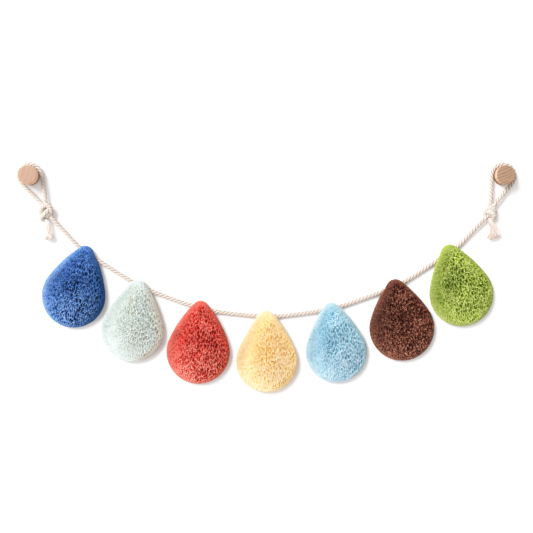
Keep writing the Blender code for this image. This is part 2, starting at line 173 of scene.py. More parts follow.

# One row a raindrop. Its form: belly centre, lean to +X, belly and tip radius, rise of the tip and side
# radius. Its pile: how much lighter, as painted light, the rim of its left flank is than that of its right
# one; how far the light and the shade of its tufts lie apart, which is little in pale wool, because light
# passes on through it; how much paler the cut ends are at the foot than at the head; and how much painted
# shade darkens the pile to the right and painted light lightens it to the head
DROP_COLUMNS = (
    "name", "x", "z", "lean_deg", "belly", "tip", "rise", "side",
    "glow", "contrast", "fading", "darker_right", "lighter_up",
)
DROPS = (
    ("blue", 0.0738, -0.2026, 15.7, 0.0543, 0.0151, 0.0728, 0.202, 1.0, 2.30, 0.78, 0.30, 0.24),
    ("mint", 0.1735, -0.2614, 7.9, 0.0534, 0.0152, 0.0728, 0.210, -0.35, 0.33, 0.58, 0.08, 0.03),
    ("coral", 0.2843, -0.2978, 3.4, 0.0540, 0.0144, 0.0733, 0.189, 0.2, 1.60, 0.40, 0.28, 0.15),
    ("yellow", 0.4004, -0.3138, -0.3, 0.0526, 0.0151, 0.0718, 0.220, -0.45, 0.52, 0.48, 0.14, 0.10),
    ("sky", 0.5177, -0.2973, -6.6, 0.0522, 0.0146, 0.0699, 0.199, 0.15, 0.95, 0.42, 0.22, 0.18),
    ("brown", 0.6287, -0.2574, -9.1, 0.0553, 0.0160, 0.0683, 0.221, 0.32, 4.40, 0.28, 0.05, 0.28),
    ("green", 0.7292, -0.1999, -15.7, 0.0545, 0.0152, 0.0721, 0.211, 0.45, 2.40, 0.06, 0.18, 0.22),
)
# The dyed wool between the tufts, darkened there as painted shade, along them, and at their cut ends,
# paler there partly as painted highlight, and the painted shade, tinted like light reflected there, on its
# right flank
WOOL_LAYERS = ("root", "body", "tip", "shade")
WOOL_COLOURS = {
    "blue": ("#02143B", "#2D60A3", "#94B4E3", "#88B1CA"),
    "mint": ("#C7C3AE", "#DBE8E3", "#CBD8E2", "#FFE8DA"),
    "coral": ("#9A0806", "#D2352B", "#E4B9A5", "#FFDCC8"),
    "yellow": ("#FDCB6B", "#FDD8A2", "#FEE3D3", "#FFFAE4"),
    "sky": ("#7CB7CE", "#99C1D0", "#DEE2F0", "#FFFFFC"),
    "brown": ("#130202", "#3B0B03", "#B97F67", "#FFFFFF"),
    "green": ("#445802", "#829A28", "#CDC98C", "#FFFFFF"),
}
# How far the slow unevenness shifts from one drop to the next
PHASE_STEP = 1.9
# The depths of a drop's back, of its widest rim and of its front
DROP_BACK = -0.0008
DROP_RIM = -0.0085
DROP_FRONT = -0.0268
ARC_STEPS = {"belly": 34, "side": 22, "tip": 12}
# The drop's section from the wall to the rim: inset from the outline, and depth
SIDE_INSETS = (0.0042, 0.0012, 0.0000)
SIDE_DEPTHS = (DROP_BACK, -0.0040, DROP_RIM)
SIDE_ROWS = 8
# The crown over the rim: its rows lie closer to the rim, and end just short of the drop's middle line
CROWN_ROWS = 26
CROWN_CLOSER = 1.7
CROWN_REACH = 0.985
# How full the crown's section is, and how far up to the tip its middle line runs
CROWN_POWER = 2.2
CROWN_HEAD = 0.62
# The unevenness of a hand-clipped pile, which begins a little way in from the rim
LUMP_HEIGHT = 0.0009
LUMP_START = 0.06
SWELL_LENGTH = 0.0560
RIPPLE_LENGTH = 0.0290
RIPPLE_SHARE = 0.4

# How many places for a tuft are tried on each drop
CANDIDATES = 80000
# The width of the clipped band round a drop, and how much narrower it is at the foot and at the right
BAND = 0.0108
BAND_FOOT = 0.0075
BAND_RIGHT = 0.0068
# How far in from the rim the painted shade on the right flank reaches
FLANK_BAND = 0.0120
# A tuft's rings from its root to its cut end and how thick each is, its radius on the rim, how much
# thicker it is inside, and how deep its root goes
TUFT_LEVELS = np.array((0.5, 0.94))
TUFT_WIDTHS = np.array((0.95, 1.15))
TUFT_CORNERS = 3
TUFT_RADIUS = 0.00054
TUFT_RADIUS_INSIDE = 0.00006
ROOT_DEPTH = 0.0005
# How far a tuft leans down its ridge, and any way at all
RIDGE_LEAN = 0.0016
STRAY_LEAN = 0.00045
# No tuft stands nearer to the rope's line than this
ROPE_CLEARANCE = 0.0042
# The height in the felted pile, 1 on a ridge and less in a pore, at which a tuft keeps its length and tone
MID_HEIGHT = 0.75
# How shaggy the brushed left flank is against the right one, and how far the yarns inside the rim are
# turned to stand straight out of their backing
BRUSHED = 0.27
STRAIGHTENED = 0.7
# How the pile's relief follows a drop's contrast: up to a most, and by a power
RELIEF_MOST = 1.2
RELIEF_POWER = 1.3
# How much of a tuft's own length comes from its height in the felted pile, and how much from chance
LENGTH_BY_HEIGHT = 1.5
LENGTH_BY_CHANCE = 0.30
# How far a tuft leans away from its pore, against its distance from it
PORE_LEAN = 0.85
# How unevenly the pores are spaced, how far they swing to one side, and how far each strays from that
PORE_SPACINGS = (0.75, 1.3)
PORE_SWING = 0.9
PORE_STRAY = 0.20
# How many times as long as wide a pore is, how much more so at the foot, and how steep its sides are
PORE_STRETCH = 2.4
PORE_STRETCH_FOOT = 2.4
PORE_STEEPNESS = 1.4
# How deep the pores are, and how far that changes from one place of the pile to another
PORE_DEPTHS = (0.2, 1.7)
PATCH_DEPTH = 1.5
PATCH_DEPTHS = (0.3, 1.6)
# The tone of plain wool, how much lighter a ridge is than a pore as painted light and shade, how far
# single tufts differ by chance, and how much the painted light on the left flank's rim and on the brushed
# pile inside it, and the painted shade on the rim elsewhere, differ from the rest
PLAIN_TONE = 0.5
RIDGE_TONE = 0.26
STRAY_TONE = 0.04
GLOW_TONE = 0.11
BRUSHED_TONE = 0.07
RIM_TONE = 0.10
# How pale the cut ends are, partly their own paler colour and partly painted highlight, on the ridges, and
# on the rim at its sides and towards its foot
PALE_RIDGE = 0.62
PALE_RIM = 0.25
PALE_RIM_FOOT = 0.2
# Pores lie further apart up the drop than across it
PORE_CLOSENESS = np.array((1.0, 1.0, 0.40))
# How many pores round a tuft are compared to find the two that it lies between
NEAR_PORES = 9
# The size of the places over which the ridges swing to one side, and over which they lie deep or flat
SWING_PLACE = 0.011
PATCH_PLACE = 0.016

# A camera's soft shoulder: how light each light level prints, up to the one that prints white
FILM_WHITE = 1.5
FILM_SHOULDER = ((0.20, 0.20), (0.50, 0.48), (0.85, 0.75), (1.15, 0.91))
CAMERA_PLACE = (0.4, -2.2, -0.1532)
CAMERA_LENS_MM = 87.55
SENSOR_WIDTH_MM = 36.0
WALL_FACE = 0.0006
STAGE_LEFT = -3.0
STAGE_RIGHT = 4.0
STAGE_FRONT = -5.0
STAGE_FLOOR = -1.6
STAGE_TOP = 3.0
# Each light's spread in degrees, and the way in which it shines
SUNS = {"key": (30.0, (0.47, 0.78, -0.43)), "side": (75.0, (0.92, 0.38, -0.05))}
# The angle in degrees and the contrast of each peg's growth rings
PEG_RINGS = {"left": (84.0, 0.12), "right": (44.0, 0.42)}
PEG_STEPS = 72
PEG_EDGE_STEPS = 6
PEG_CHAMFER = 0.2 * MM

# A Mix node's sockets by number, because those for colours and for plain numbers have the same names
SHARE = 0
NUMBER_A = 2
NUMBER_B = 3
COLOUR_A = 6
COLOUR_B = 7
NUMBER_OUT = 0
COLOUR_OUT = 2
COLOURS = {"data_type": "RGBA"}
MULTIPLIED = {"data_type": "RGBA", "blend_type": "MULTIPLY"}
SOFT = {"interpolation_type": "SMOOTHSTEP"}


def linear(hex_colour):
    """The linear red, green and blue of a '#RRGGBB' sRGB colour."""
    channels = [int(hex_colour[start : start + 2], 16) / 255 for start in (1, 3, 5)]
    return tuple(c / 12.92 if c <= 0.04045 else ((c + 0.055) / 1.055) ** 2.4 for c in channels)


def a_length(name, description, default, low, high):
    """A size that a user may change."""
    return bpy.props.FloatProperty(
        name=name, description=description, default=default, min=low, max=high, unit="LENGTH"
    )


def a_colour(name, description, hex_colour):
    """A colour that a user may change."""
    default = linear(hex_colour)
    return bpy.props.FloatVectorProperty(
        name=name, description=description, default=default, size=3, min=0.0, max=1.0, subtype="COLOR"
    )


def a_strength(name, description, default, high):
    """A light's strength that a user may change."""
    return bpy.props.FloatProperty(name=name, description=description, default=default, min=0.0, max=high)


class GARLAND_PG_rope(bpy.types.PropertyGroup):
    """Sizes and colours of the three-strand cotton rope."""

    diameter: a_length("Rope diameter", "Thickness over the three strands", 0.0075, 0.004, 0.010)
    lay: a_length("Lay length", "Length over which a strand goes once round the rope", 0.0200, 0.010, 0.040)
    ridge: a_colour("Strand colour", "Undyed cotton on the strands' outer faces", "#C6BAB0")
    # The frayed colour is lighter than the strands' as painted light, against the shade the loose yarns
    # cast
    combed: a_colour("Frayed colour", "Undyed cotton combed out at the rope's ends", "#E6D8CE")
    # The groove colour is painted shade deep between the strands; at the frayed ends it tints some yarns at
    # random
    groove: a_colour("Groove colour", "Undyed cotton deep between the strands", "#A68674")


class GARLAND_PG_wool(bpy.types.PropertyGroup):
    """Sizes of the cut pile. The colours of each raindrop are added below, from its own list."""

    pile_length: a_length(
        "Pile length", "How far the tufts stand out of their backing", 0.0080, 0.003, 0.010
    )
    spacing: a_length(
        "Tuft spacing", "Least distance between two tufts on the crown", 0.00103, 0.0009, 0.004
    )
    rim_spacing: a_length(
        "Rim spacing", "Least distance between two tufts on the clipped rim", 0.00112, 0.0009, 0.004
    )
    pore_spacing: a_length(
        "Pore spacing", "Least distance between the dark pores of the felted pile", 0.0028, 0.002, 0.012
    )
    unevenness: a_length(
        "Unevenness", "How much longer or shorter than the rest a ridge may be", 0.0026, 0.0, 0.004
    )


# The root colours are painted shade between the tufts, the tip colours partly painted highlight, and the
# shade colours painted shade on the right flank
for wool_name, wool_colours in WOOL_COLOURS.items():
    for wool_layer, wool_colour in zip(WOOL_LAYERS, wool_colours):
        GARLAND_PG_wool.__annotations__[f"{wool_name}_{wool_layer}"] = a_colour(
            f"{wool_name.capitalize()} {wool_layer}",
            "Dyed wool between, along or at the cut ends of the tufts, or its shaded side",
            wool_colour,
        )


class GARLAND_PG_peg(bpy.types.PropertyGroup):
    """Sizes and colours of the turned beech pegs, each a round head on a slightly thinner neck."""

    edge: a_length("Edge radius", "Rounding of the peg's front edge", 0.0012, 0.0004, 0.003)
    head: a_length(
        "Head thickness", "Length of the head in front of the neck", 0.0180, 0.005, 0.022
    )
    neck: a_length("Neck depth", "How much less than the head's radius the neck's is", 0.0006, 0.0, 0.002)
    left_end: a_colour("Left peg", "Pale beech of the left peg's end", "#95725D")
    # The left peg's side is painted lighter than the right one's: partly painted light on a side turned
    # from the key
    left_side: a_colour("Left side", "Beech along the side of the left peg's head", "#F3C6A3")
    right_end: a_colour("Right peg", "Darker beech of the right peg's end", "#7C5F4A")
    right_side: a_colour("Right side", "Beech along the side of the right peg's head", "#CDA385")
    # The neck colour is painted shade, where the head and the rope shade the neck
    neck_shade: a_colour("Neck", "Beech darkened on the neck, where the rope rubs it", "#8A6246")


class GARLAND_PG_stage(bpy.types.PropertyGroup):
    """The pale studio round the garland."""

    wall: a_colour("Wall colour", "Matt white wall and pale floor", "#F7F6F4")
    key: a_strength("Key light", "Strength of the soft light from the upper left", 5.9, 10.0)
    side: a_strength("Side light", "Strength of the very soft light from the left", 2.0, 10.0)
    fill: a_strength("Fill light", "Strength of the even light in front of the wall", 0.87, 4.0)
    bounce: a_strength("Wall bounce", "Strength of the light that comes back off the wall", 0.70, 4.0)
    tint: a_colour("Bounce colour", "Colour of the light that comes back off the wall", "#FFE2D0")


def plug(tree, target, inputs):
    """Sets each of a node's named inputs to a value, or links it to a socket."""
    for key, value in dict(inputs).items():
        if isinstance(value, bpy.types.NodeSocket):
            tree.links.new(value, target.inputs[key])
        else:
            target.inputs[key].default_value = value


def node(tree, kind, output, inputs=(), **settings):
    """Adds a shader node with its options and inputs, and returns one of its output sockets."""
    made = tree.nodes.new(kind)
    for name, value in settings.items():
        setattr(made, name, value)
    plug(tree, made, inputs)
    return made.outputs[output]


def start_material(name):
    """A new material, its node tree and its surface shader."""
    material = bpy.data.materials.new(name)
    material.use_nodes = True
    return material, material.node_tree, material.node_tree.nodes["Principled BSDF"]


def opaque(colour):
    return (*colour, 1.0)


def laid_cotton(name, ridge, groove):
    """Undyed cotton, laid: matt and creamy, with painted tan shade between strands and fine yarns along
    them.
    """
    material, tree, shader = start_material(name)
    depth = node(tree, "ShaderNodeAttribute", "Fac", attribute_name="ridge")
    uv = node(tree, "ShaderNodeUVMap", "UV", uv_map="yarn")
    # The real yarns are 0.3 mm apart; thirteen round a strand, 0.9 mm, are as fine as still show
    stretched = node(tree, "ShaderNodeMapping", "Vector", {"Vector": uv, "Scale": (120.0, 8.0, 1.0)})
    grain = {"Vector": stretched, "Scale": 1.6, "Detail": 3.0, "Roughness": 0.6}
    yarns = node(tree, "ShaderNodeTexNoise", "Fac", grain)
    # Painted shade: the groove colour deep between the strands, the strand colour on their outer faces
    outwards = {"Value": depth, "From Min": 0.50, "From Max": 0.97}
    fade = node(tree, "ShaderNodeMapRange", "Result", outwards, **SOFT)
    ends = {SHARE: fade, COLOUR_A: opaque(groove), COLOUR_B: opaque(ridge)}
    base = node(tree, "ShaderNodeMix", COLOUR_OUT, ends, **COLOURS)
    reach = {"Value": yarns, "From Min": 0.3, "From Max": 0.7, "To Min": 0.86, "To Max": 1.04}
    shade = node(tree, "ShaderNodeMapRange", "Result", reach)
    drawn = {SHARE: 1.0, COLOUR_A: base, COLOUR_B: shade}
    streaked = node(tree, "ShaderNodeMix", COLOUR_OUT, drawn, **MULTIPLIED)
    relief = node(tree, "ShaderNodeBump", "Normal", {"Height": yarns, "Strength": 0.5, "Distance": 0.0004})
    plug(tree, shader, {
        "Base Color": streaked,
        "Normal": relief,
        "Roughness": 0.92,
        "IOR": 1.53,
        "Specular IOR Level": 0.2,
        "Sheen Weight": 0.25,
        "Sheen Roughness": 0.5,
    })
    return material


def cut_pile_wool(name, root, body, tip, shade):
    """Dyed wool, tufted and clipped: matt, plush, painted shade deep and warm between tufts, pale at the
    cut ends.
    """
    material, tree, shader = start_material(name)
    rise, tone, pale, flank = (
        node(tree, "ShaderNodeAttribute", "Fac", attribute_name=key)
        for key in ("rise", "tone", "pale", "flank")
    )
    # Painted shade: the root colour deep between the tufts, turning to the body colour up them
    from_the_root = {"Value": rise, "From Min": 0.30, "From Max": 0.85}
    up_the_tuft = node(tree, "ShaderNodeMapRange", "Result", from_the_root, **SOFT)
    ends = {SHARE: up_the_tuft, COLOUR_A: opaque(root), COLOUR_B: opaque(body)}
    stem = node(tree, "ShaderNodeMix", COLOUR_OUT, ends, **COLOURS)
    # The pale cut ends are partly their own colour and partly painted highlight
    near_the_cut = {"Value": rise, "From Min": 0.72, "From Max": 1.0}
    at_the_cut = node(tree, "ShaderNodeMapRange", "Result", near_the_cut, **SOFT)
    frayed = node(tree, "ShaderNodeMath", "Value", {0: at_the_cut, 1: pale}, operation="MULTIPLY")
    tipped = {SHARE: frayed, COLOUR_A: stem, COLOUR_B: opaque(tip)}
    base = node(tree, "ShaderNodeMix", COLOUR_OUT, tipped, **COLOURS)
    # The tone carries painted light and shade over ridges, pores, rim and drop, and chance differences
    strength = node(tree, "ShaderNodeMapRange", "Result", {"Value": tone, "To Min": 0.0, "To Max": 2.0})
    toned = {SHARE: 1.0, COLOUR_A: base, COLOUR_B: strength}
    varied = node(tree, "ShaderNodeMix", COLOUR_OUT, toned, **MULTIPLIED)
    # Painted shade on the right flank, in a tint like light reflected there
    tinted = {SHARE: flank, COLOUR_A: varied, COLOUR_B: opaque(shade)}
    shaded = node(tree, "ShaderNodeMix", COLOUR_OUT, tinted, **MULTIPLIED)
    uv = node(tree, "ShaderNodeUVMap", "UV", uv_map="yarn")
    # Wool fibres are 0.03 mm thick; streaks 0.7 mm apart round each tuft stand for them
    streaks = {"Vector": uv, "Scale": 5.0, "Detail": 2.0, "Roughness": 0.6}
    fibres = node(tree, "ShaderNodeTexNoise", "Fac", streaks)
    relief = node(tree, "ShaderNodeBump", "Normal", {"Height": fibres, "Strength": 0.4, "Distance": 0.0003})
    plug(tree, shader, {
        "Base Color": shaded,
        "Normal": relief,
        "Roughness": 0.95,
        "IOR": 1.55,
        "Specular IOR Level": 0.15,
        "Sheen Weight": 0.08,
        "Sheen Roughness": 0.6,
        "Sheen Tint": opaque(tip),
        "Subsurface Weight": 0.4,
        "Subsurface Radius": (1.0, 1.0, 1.0),
        "Subsurface Scale": 0.0010,
    })
    return material


def tufting_cloth(name, root, body):
    """The plain woven back of a tufted piece, in the wool's own shade: flat, dry and slightly ribbed."""
    material, tree, shader = start_material(name)
    place = node(tree, "ShaderNodeTexCoord", "Object")
    # The real threads lie 1.2 mm apart, drawn 2.4 mm apart so that they show
    cover = {"Vector": place, "Scale": 130.0, "Distortion": 0.6, "Detail": 1.0}
    warp, weft = (
        node(tree, "ShaderNodeTexWave", "Fac", cover, bands_direction=axis) for axis in ("X", "Z")
    )
    weave = node(tree, "ShaderNodeMath", "Value", {0: warp, 1: weft}, operation="MULTIPLY")
    ends = {SHARE: weave, COLOUR_A: opaque(root), COLOUR_B: opaque(body)}
    base = node(tree, "ShaderNodeMix", COLOUR_OUT, ends, **COLOURS)
    relief = node(tree, "ShaderNodeBump", "Normal", {"Height": weave, "Strength": 0.6, "Distance": 0.0004})
    plug(tree, shader, {
        "Base Color": base,
        "Normal": relief,
        "Roughness": 0.95,
        "IOR": 1.53,
        "Specular IOR Level": 0.15,
        "Sheen Weight": 0.15,
    })
    return material


def turned_beech(name, end, side, neck, head, ring_angle_deg, contrast):
    """Beech, turned and sanded: growth rings in lines over the end, a pale side, painted shade on the neck.
    """
    material, tree, shader = start_material(name)
    place = node(tree, "ShaderNodeTexCoord", "Object")
    lines_along = (0.0, math.radians(ring_angle_deg), 0.0)
    grain_way = {"Vector": place, "Rotation": lines_along, "Scale": (0.5, 0.12, 1.0)}
    turned = node(tree, "ShaderNodeMapping", "Vector", grain_way)
    # Rings 7 mm apart on the left peg and 5 mm on the right one, with flecks of 1 to 2 mm: coarser than
    # in slow-grown beech, so that they show
    waves = {"Vector": turned, "Scale": 84.0, "Distortion": 5.0, "Detail": 2.0, "Detail Scale": 0.8}
    rings = node(tree, "ShaderNodeTexWave", "Fac", waves, bands_direction="Z")
    flecked = node(tree, "ShaderNodeMapping", "Vector", {"Vector": turned, "Scale": (160.0, 160.0, 900.0)})
    flecks = node(tree, "ShaderNodeTexNoise", "Fac", {"Vector": flecked, "Scale": 1.0, "Detail": 3.0})
    both = node(tree, "ShaderNodeMix", NUMBER_OUT, {SHARE: 0.65, NUMBER_A: rings, NUMBER_B: flecks})
    darkest = {"From Min": 0.2, "To Min": 1.0 - contrast}
    lightest = {"From Max": 0.8, "To Max": 1.0 + contrast}
    shade = node(tree, "ShaderNodeMapRange", "Result", {"Value": both, **darkest, **lightest})
    # The grain is cut across on the front, and along on the side
    normal = node(tree, "ShaderNodeTexCoord", "Normal")
    forwards = node(tree, "ShaderNodeSeparateXYZ", "Y", {"Vector": normal})
    off_the_front = {"Value": forwards, "From Min": -0.9, "From Max": -0.4}
    turning = node(tree, "ShaderNodeMapRange", "Result", off_the_front)
    faces = {SHARE: turning, COLOUR_A: opaque(end), COLOUR_B: opaque(side)}
    round_the_side = node(tree, "ShaderNodeMix", COLOUR_OUT, faces, **COLOURS)
    # Painted shade on the neck behind the head, where the head and the rope shade it
    depth = node(tree, "ShaderNodeSeparateXYZ", "Y", {"Vector": place})
    past_the_head = {"Value": depth, "From Min": head, "From Max": head + MM}
    behind = node(tree, "ShaderNodeMapRange", "Result", past_the_head)
    whole = {SHARE: behind, COLOUR_A: round_the_side, COLOUR_B: opaque(neck)}
    plain = node(tree, "ShaderNodeMix", COLOUR_OUT, whole, **COLOURS)
    grained = {SHARE: 1.0, COLOUR_A: plain, COLOUR_B: shade}
    base = node(tree, "ShaderNodeMix", COLOUR_OUT, grained, **MULTIPLIED)
    relief = node(tree, "ShaderNodeBump", "Normal", {"Height": both, "Strength": 0.2, "Distance": 0.0002})
    plug(tree, shader, {
        "Base Color": base,
        "Normal": relief,
        "Roughness": 0.55,
        "IOR": 1.5,
        "Specular IOR Level": 0.35,
    })
    return material


def one_sided_paint(name, colour):
    """Matt white wall paint on a sheet that shows only its front, so that the back stays open to view.

    A little light of its own keeps shadows as open as they are on a bright, over-exposed wall.
    """
    material, tree, shader = start_material(name)
    plug(tree, shader, {
        "Base Color": opaque(colour),
        "Roughness": 1.0,
        "Specular IOR Level": 0.0,
        "Emission Color": opaque(colour),
        "Emission Strength": 0.02,
    })
    back = node(tree, "ShaderNodeNewGeometry", "Backfacing")
    clear = node(tree, "ShaderNodeBsdfTransparent", "BSDF")
    both = node(tree, "ShaderNodeMixShader", "Shader", {0: back, 1: shader.outputs["BSDF"], 2: clear})
    plug(tree, tree.nodes["Material Output"], {"Surface": both})
    return material


def studio_light(name, fill, bounce, tint):
    """Even light: white `fill` from the room, and `bounce` off the wall, warmed by what hangs on it."""
    world = bpy.data.worlds.new(name)
    world.use_nodes = True
    tree = world.node_tree
    way = node(tree, "ShaderNodeTexCoord", "Generated")
    wallward = node(tree, "ShaderNodeSeparateXYZ", "Y", {"Vector": way})
    facing = {"Value": wallward, "From Min": 0.0, "From Max": 0.3}
    share = node(tree, "ShaderNodeMapRange", "Result", facing)
    warm = opaque([bounce * channel for channel in tint])
    ends = {SHARE: share, COLOUR_A: opaque((fill, fill, fill)), COLOUR_B: warm}
    light = node(tree, "ShaderNodeMix", COLOUR_OUT, ends, **COLOURS)
    plug(tree, tree.nodes["Background"], {"Color": light})
    return world


def run_lengths(points):
    """The length along a line of points up to each of them."""
    return np.concatenate([[0.0], np.cumsum(np.linalg.norm(np.diff(points, axis=0), axis=1))])


def points_along(line, reach, want):
    """Points on a line at the lengths `want`, where `reach` is the length up to each of its own points."""
    return np.stack([np.interp(want, reach, line[:, k]) for k in range(3)], axis=1)


def smooth_route(points, spacing):
    """Points about `spacing` apart on a centripetal Catmull-Rom curve through `points`."""
    p = np.array(points, float)
    p = np.vstack([2 * p[0] - p[1], p, 2 * p[-1] - p[-2]])
    dense = []
    for p0, p1, p2, p3 in zip(p, p[1:], p[2:], p[3:]):
        hops = [math.sqrt(np.linalg.norm(b - a)) for a, b in ((p0, p1), (p1, p2), (p2, p3))]
        t0, t1, t2, t3 = np.cumsum([0.0, *hops])
        t = np.linspace(t1, t2, CURVE_PIECES, endpoint=False)[:, None]
        a1 = (p0 * (t1 - t) + p1 * (t - t0)) / (t1 - t0)
        a2 = (p1 * (t2 - t) + p2 * (t - t1)) / (t2 - t1)
        a3 = (p2 * (t3 - t) + p3 * (t - t2)) / (t3 - t2)
        b1 = (a1 * (t2 - t) + a2 * (t - t0)) / (t2 - t0)
        b2 = (a2 * (t3 - t) + a3 * (t - t1)) / (t3 - t1)
        dense.append((b1 * (t2 - t) + b2 * (t - t1)) / (t2 - t1))
    dense = np.vstack([*dense, p[-2:-1]])
    reach = run_lengths(dense)
    return points_along(dense, reach, np.linspace(0.0, reach[-1], max(2, round(reach[-1] / spacing)) + 1))


def carried_frames(points):
    """Two unit vectors across the line at each point, turned no more than the line itself turns."""
    ahead = np.vstack([points[1:], points[-1:]])
    behind = np.vstack([points[:1], points[:-1]])
    tangents = [Vector(t).normalized() for t in ahead - behind]
    side = tangents[0].cross(Vector((0.0, 1.0, 0.0))).normalized()
    sides = []
    ups = []
    for index, tangent in enumerate(tangents):
        if index:
            side = tangents[index - 1].rotation_difference(tangent) @ side
        side = (side - tangent * side.dot(tangent)).normalized()
        sides.append(side)
        ups.append(tangent.cross(side))
    return np.array(sides), np.array(ups)


def rings_round(centres, out, across, out_by, across_by):
    """A ring of corners round each centre, each corner so far out from it and across from it."""
    outwards = out[..., None, :] * out_by[..., None]
    return centres[..., None, :] + outwards + across[..., None, :] * across_by[..., None]


def tubes(rings, feet, tips, around, along):
    """Points, faces and face-corner coordinates of many tubes that each close on a foot and a tip.

    `rings` is tubes x rings x corners x 3. `around` and `along` are tubes x rings: the turn at which
    a ring starts, and how far along the tube it lies.
    """
    count, levels, corners = rings.shape[:3]
    stride = levels * corners + 2
    points = np.concatenate([rings.reshape(count, -1, 3), feet[:, None], tips[:, None]], axis=1)
    i = np.arange(corners)
    j = (i + 1) % corners
    level = (np.arange(levels - 1) * corners)[:, None]
    quads = np.stack([level + i, level + j, level + corners + j, level + corners + i], axis=-1)
    last = (levels - 1) * corners
    foot = np.stack([np.full(corners, stride - 2), j, i], axis=-1)
    tip = np.stack([np.full(corners, stride - 1), last + i, last + j], axis=-1)
    base = (np.arange(count) * stride)[:, None, None]
    turn = around[:, :, None] + np.arange(corners + 1) / corners
    grid = np.stack([np.broadcast_to(along[:, :, None], turn.shape), turn], axis=-1)
    quad_uv = np.stack([grid[:, :-1, :-1], grid[:, :-1, 1:], grid[:, 1:, 1:], grid[:, 1:, :-1]], axis=3)
    ends = []
    for index, order in ((0, (None, 1, 0)), (levels - 1, (None, 0, 1))):
        ring = grid[:, index]
        pair = {0: ring[:, :-1], 1: ring[:, 1:]}
        middle = (pair[0] + pair[1]) / 2
        ends.append(np.stack([middle if k is None else pair[k] for k in order], axis=2))
    return {
        "points": points.reshape(-1, 3),
        "quads": (base + quads.reshape(1, -1, 4)).reshape(-1, 4),
        "triangles": np.concatenate([base + foot[None], base + tip[None]], axis=1).reshape(-1, 3),
        "quad_uv": quad_uv.reshape(-1, 2),
        "triangle_uv": np.concatenate(ends, axis=1).reshape(-1, 2),
    }


def mesh_object(name, parts, values, materials):
    """One smooth object from parts of points, quads and triangles; `values` has numbers for each point."""
    offset = 0
    gathered = {key: [] for key in ("points", "quads", "triangles", "quad_uv", "triangle_uv")}
    for part in parts:
        for key in gathered:
            found = part[key]
            gathered[key].append(found + offset if key in ("quads", "triangles") else found)
        offset += len(part["points"])
    gathered = {key: np.concatenate(found) for key, found in gathered.items()}
    corners = np.concatenate([gathered["quads"].ravel(), gathered["triangles"].ravel()])
    sizes = np.repeat([4, 3], [len(gathered["quads"]), len(gathered["triangles"])])
    mesh = bpy.data.meshes.new(name)
    mesh.vertices.add(offset)
    mesh.vertices.foreach_set("co", gathered["points"].astype(np.float32).ravel())
    mesh.loops.add(len(corners))
    mesh.loops.foreach_set("vertex_index", corners.astype(np.int32))
    mesh.polygons.add(len(sizes))
    mesh.polygons.foreach_set("loop_start", (np.cumsum(sizes) - sizes).astype(np.int32))
    mesh.update(calc_edges=True)
    uv = mesh.uv_layers.new(name="yarn")
    corner_uv = np.concatenate([gathered["quad_uv"], gathered["triangle_uv"]])
    uv.data.foreach_set("uv", corner_uv.astype(np.float32).ravel())
    for key, numbers in values.items():
        attribute = mesh.attributes.new(key, "FLOAT", "POINT")
        attribute.data.foreach_set("value", np.asarray(numbers, np.float32))
    for material in materials:
        mesh.materials.append(material)
    mesh.shade_smooth()
    mesh.set_sharp_from_angle(angle=math.radians(75))
    if mesh.validate():
        raise RuntimeError(f"{name}: the mesh had faulty faces")
    made = bpy.data.objects.new(name, mesh)
    bpy.context.scene.collection.objects.link(made)
    return made


def finish_piece(made, slot, *nodes):
    """Hangs a piece on the garland's one body, in the place of the nodes that it stands for."""
    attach(made, BODY)
    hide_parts(*nodes)


def laid_strands(points, diameter, lay, pressed=1.0):
    """Three strands laid left-handed round a line, and how near the rope's outer face each point is.

    Strands that are `pressed` harder than 1 lie flatter, with shallower grooves between them.
    """
    side, up = carried_frames(points)
    reach = run_lengths(points)
    turn = -2 * math.pi * reach / lay
    radius = diameter / 2
    strand = pressed * diameter / STRANDS_ACROSS / 2
    middle = radius - strand
    # A strand crosses the rope's section at its lay angle, which widens it
    wide = strand * math.hypot(1.0, 2 * math.pi * middle / lay) * STRAND_FLATTENED
    corner = np.linspace(0.0, 2 * math.pi, STRAND_CORNERS, endpoint=False) + math.pi
    rings = []
    centres = []
    for index in range(3):
        angle = turn + 2 * math.pi * index / 3
        out = side * np.cos(angle)[:, None] + up * np.sin(angle)[:, None]
        across = up * np.cos(angle)[:, None] - side * np.sin(angle)[:, None]
        centre = points + out * middle
        rings.append(rings_round(centre, out, across, strand * np.cos(corner), wide * np.sin(corner)))
        centres.append(centre)
    rings = np.array(rings)
    centres = np.array(centres)
    # The yarns are twisted against the lay, so they run nearly straight along the rope
    around = np.broadcast_to((turn * YARN_TURNS / (2 * math.pi))[None], rings.shape[:2])
    along = np.broadcast_to(reach[None], rings.shape[:2])
    part = tubes(rings, centres[:, 0], centres[:, -1], around, along)
    out_by = (middle + strand * np.cos(corner)) / radius
    level = np.broadcast_to(out_by, rings.shape[:3]).reshape(3, -1)
    ends = np.full((3, 2), middle / radius)
    return part, np.concatenate([level, ends], axis=1).ravel()


def with_leads(route):
    """The route with both its ends carried on, in a straight line, into the knots that hide them."""
    points = [Vector(p) for p in route]
    first = points[0] + (points[0] - points[1]).normalized() * LEAD
    last = points[-1] + (points[-1] - points[-2]).normalized() * LEAD
    return [tuple(p) for p in (first, *points, last)]


def lay_rope(name, route, shade_lift, rope, cotton):
    """A length of laid rope along its route, its painted groove shade lifted towards its ends, with the
    pieces tied in it.
    """
    points = smooth_route(with_leads(route), RING_STEP)
    part, ridge = laid_strands(points, rope.diameter, rope.lay)
    # The painted shade in the grooves is lifted by a share that runs from the route's first end to its last
    ridge += (1 - ridge) * np.interp(part["points"][:, 0], (route[0][0], route[-1][0]), shade_lift)
    made = mesh_object(name + "_laid", [part], {"ridge": ridge}, [cotton])
    finish_piece(made, "cotton_rope", name)


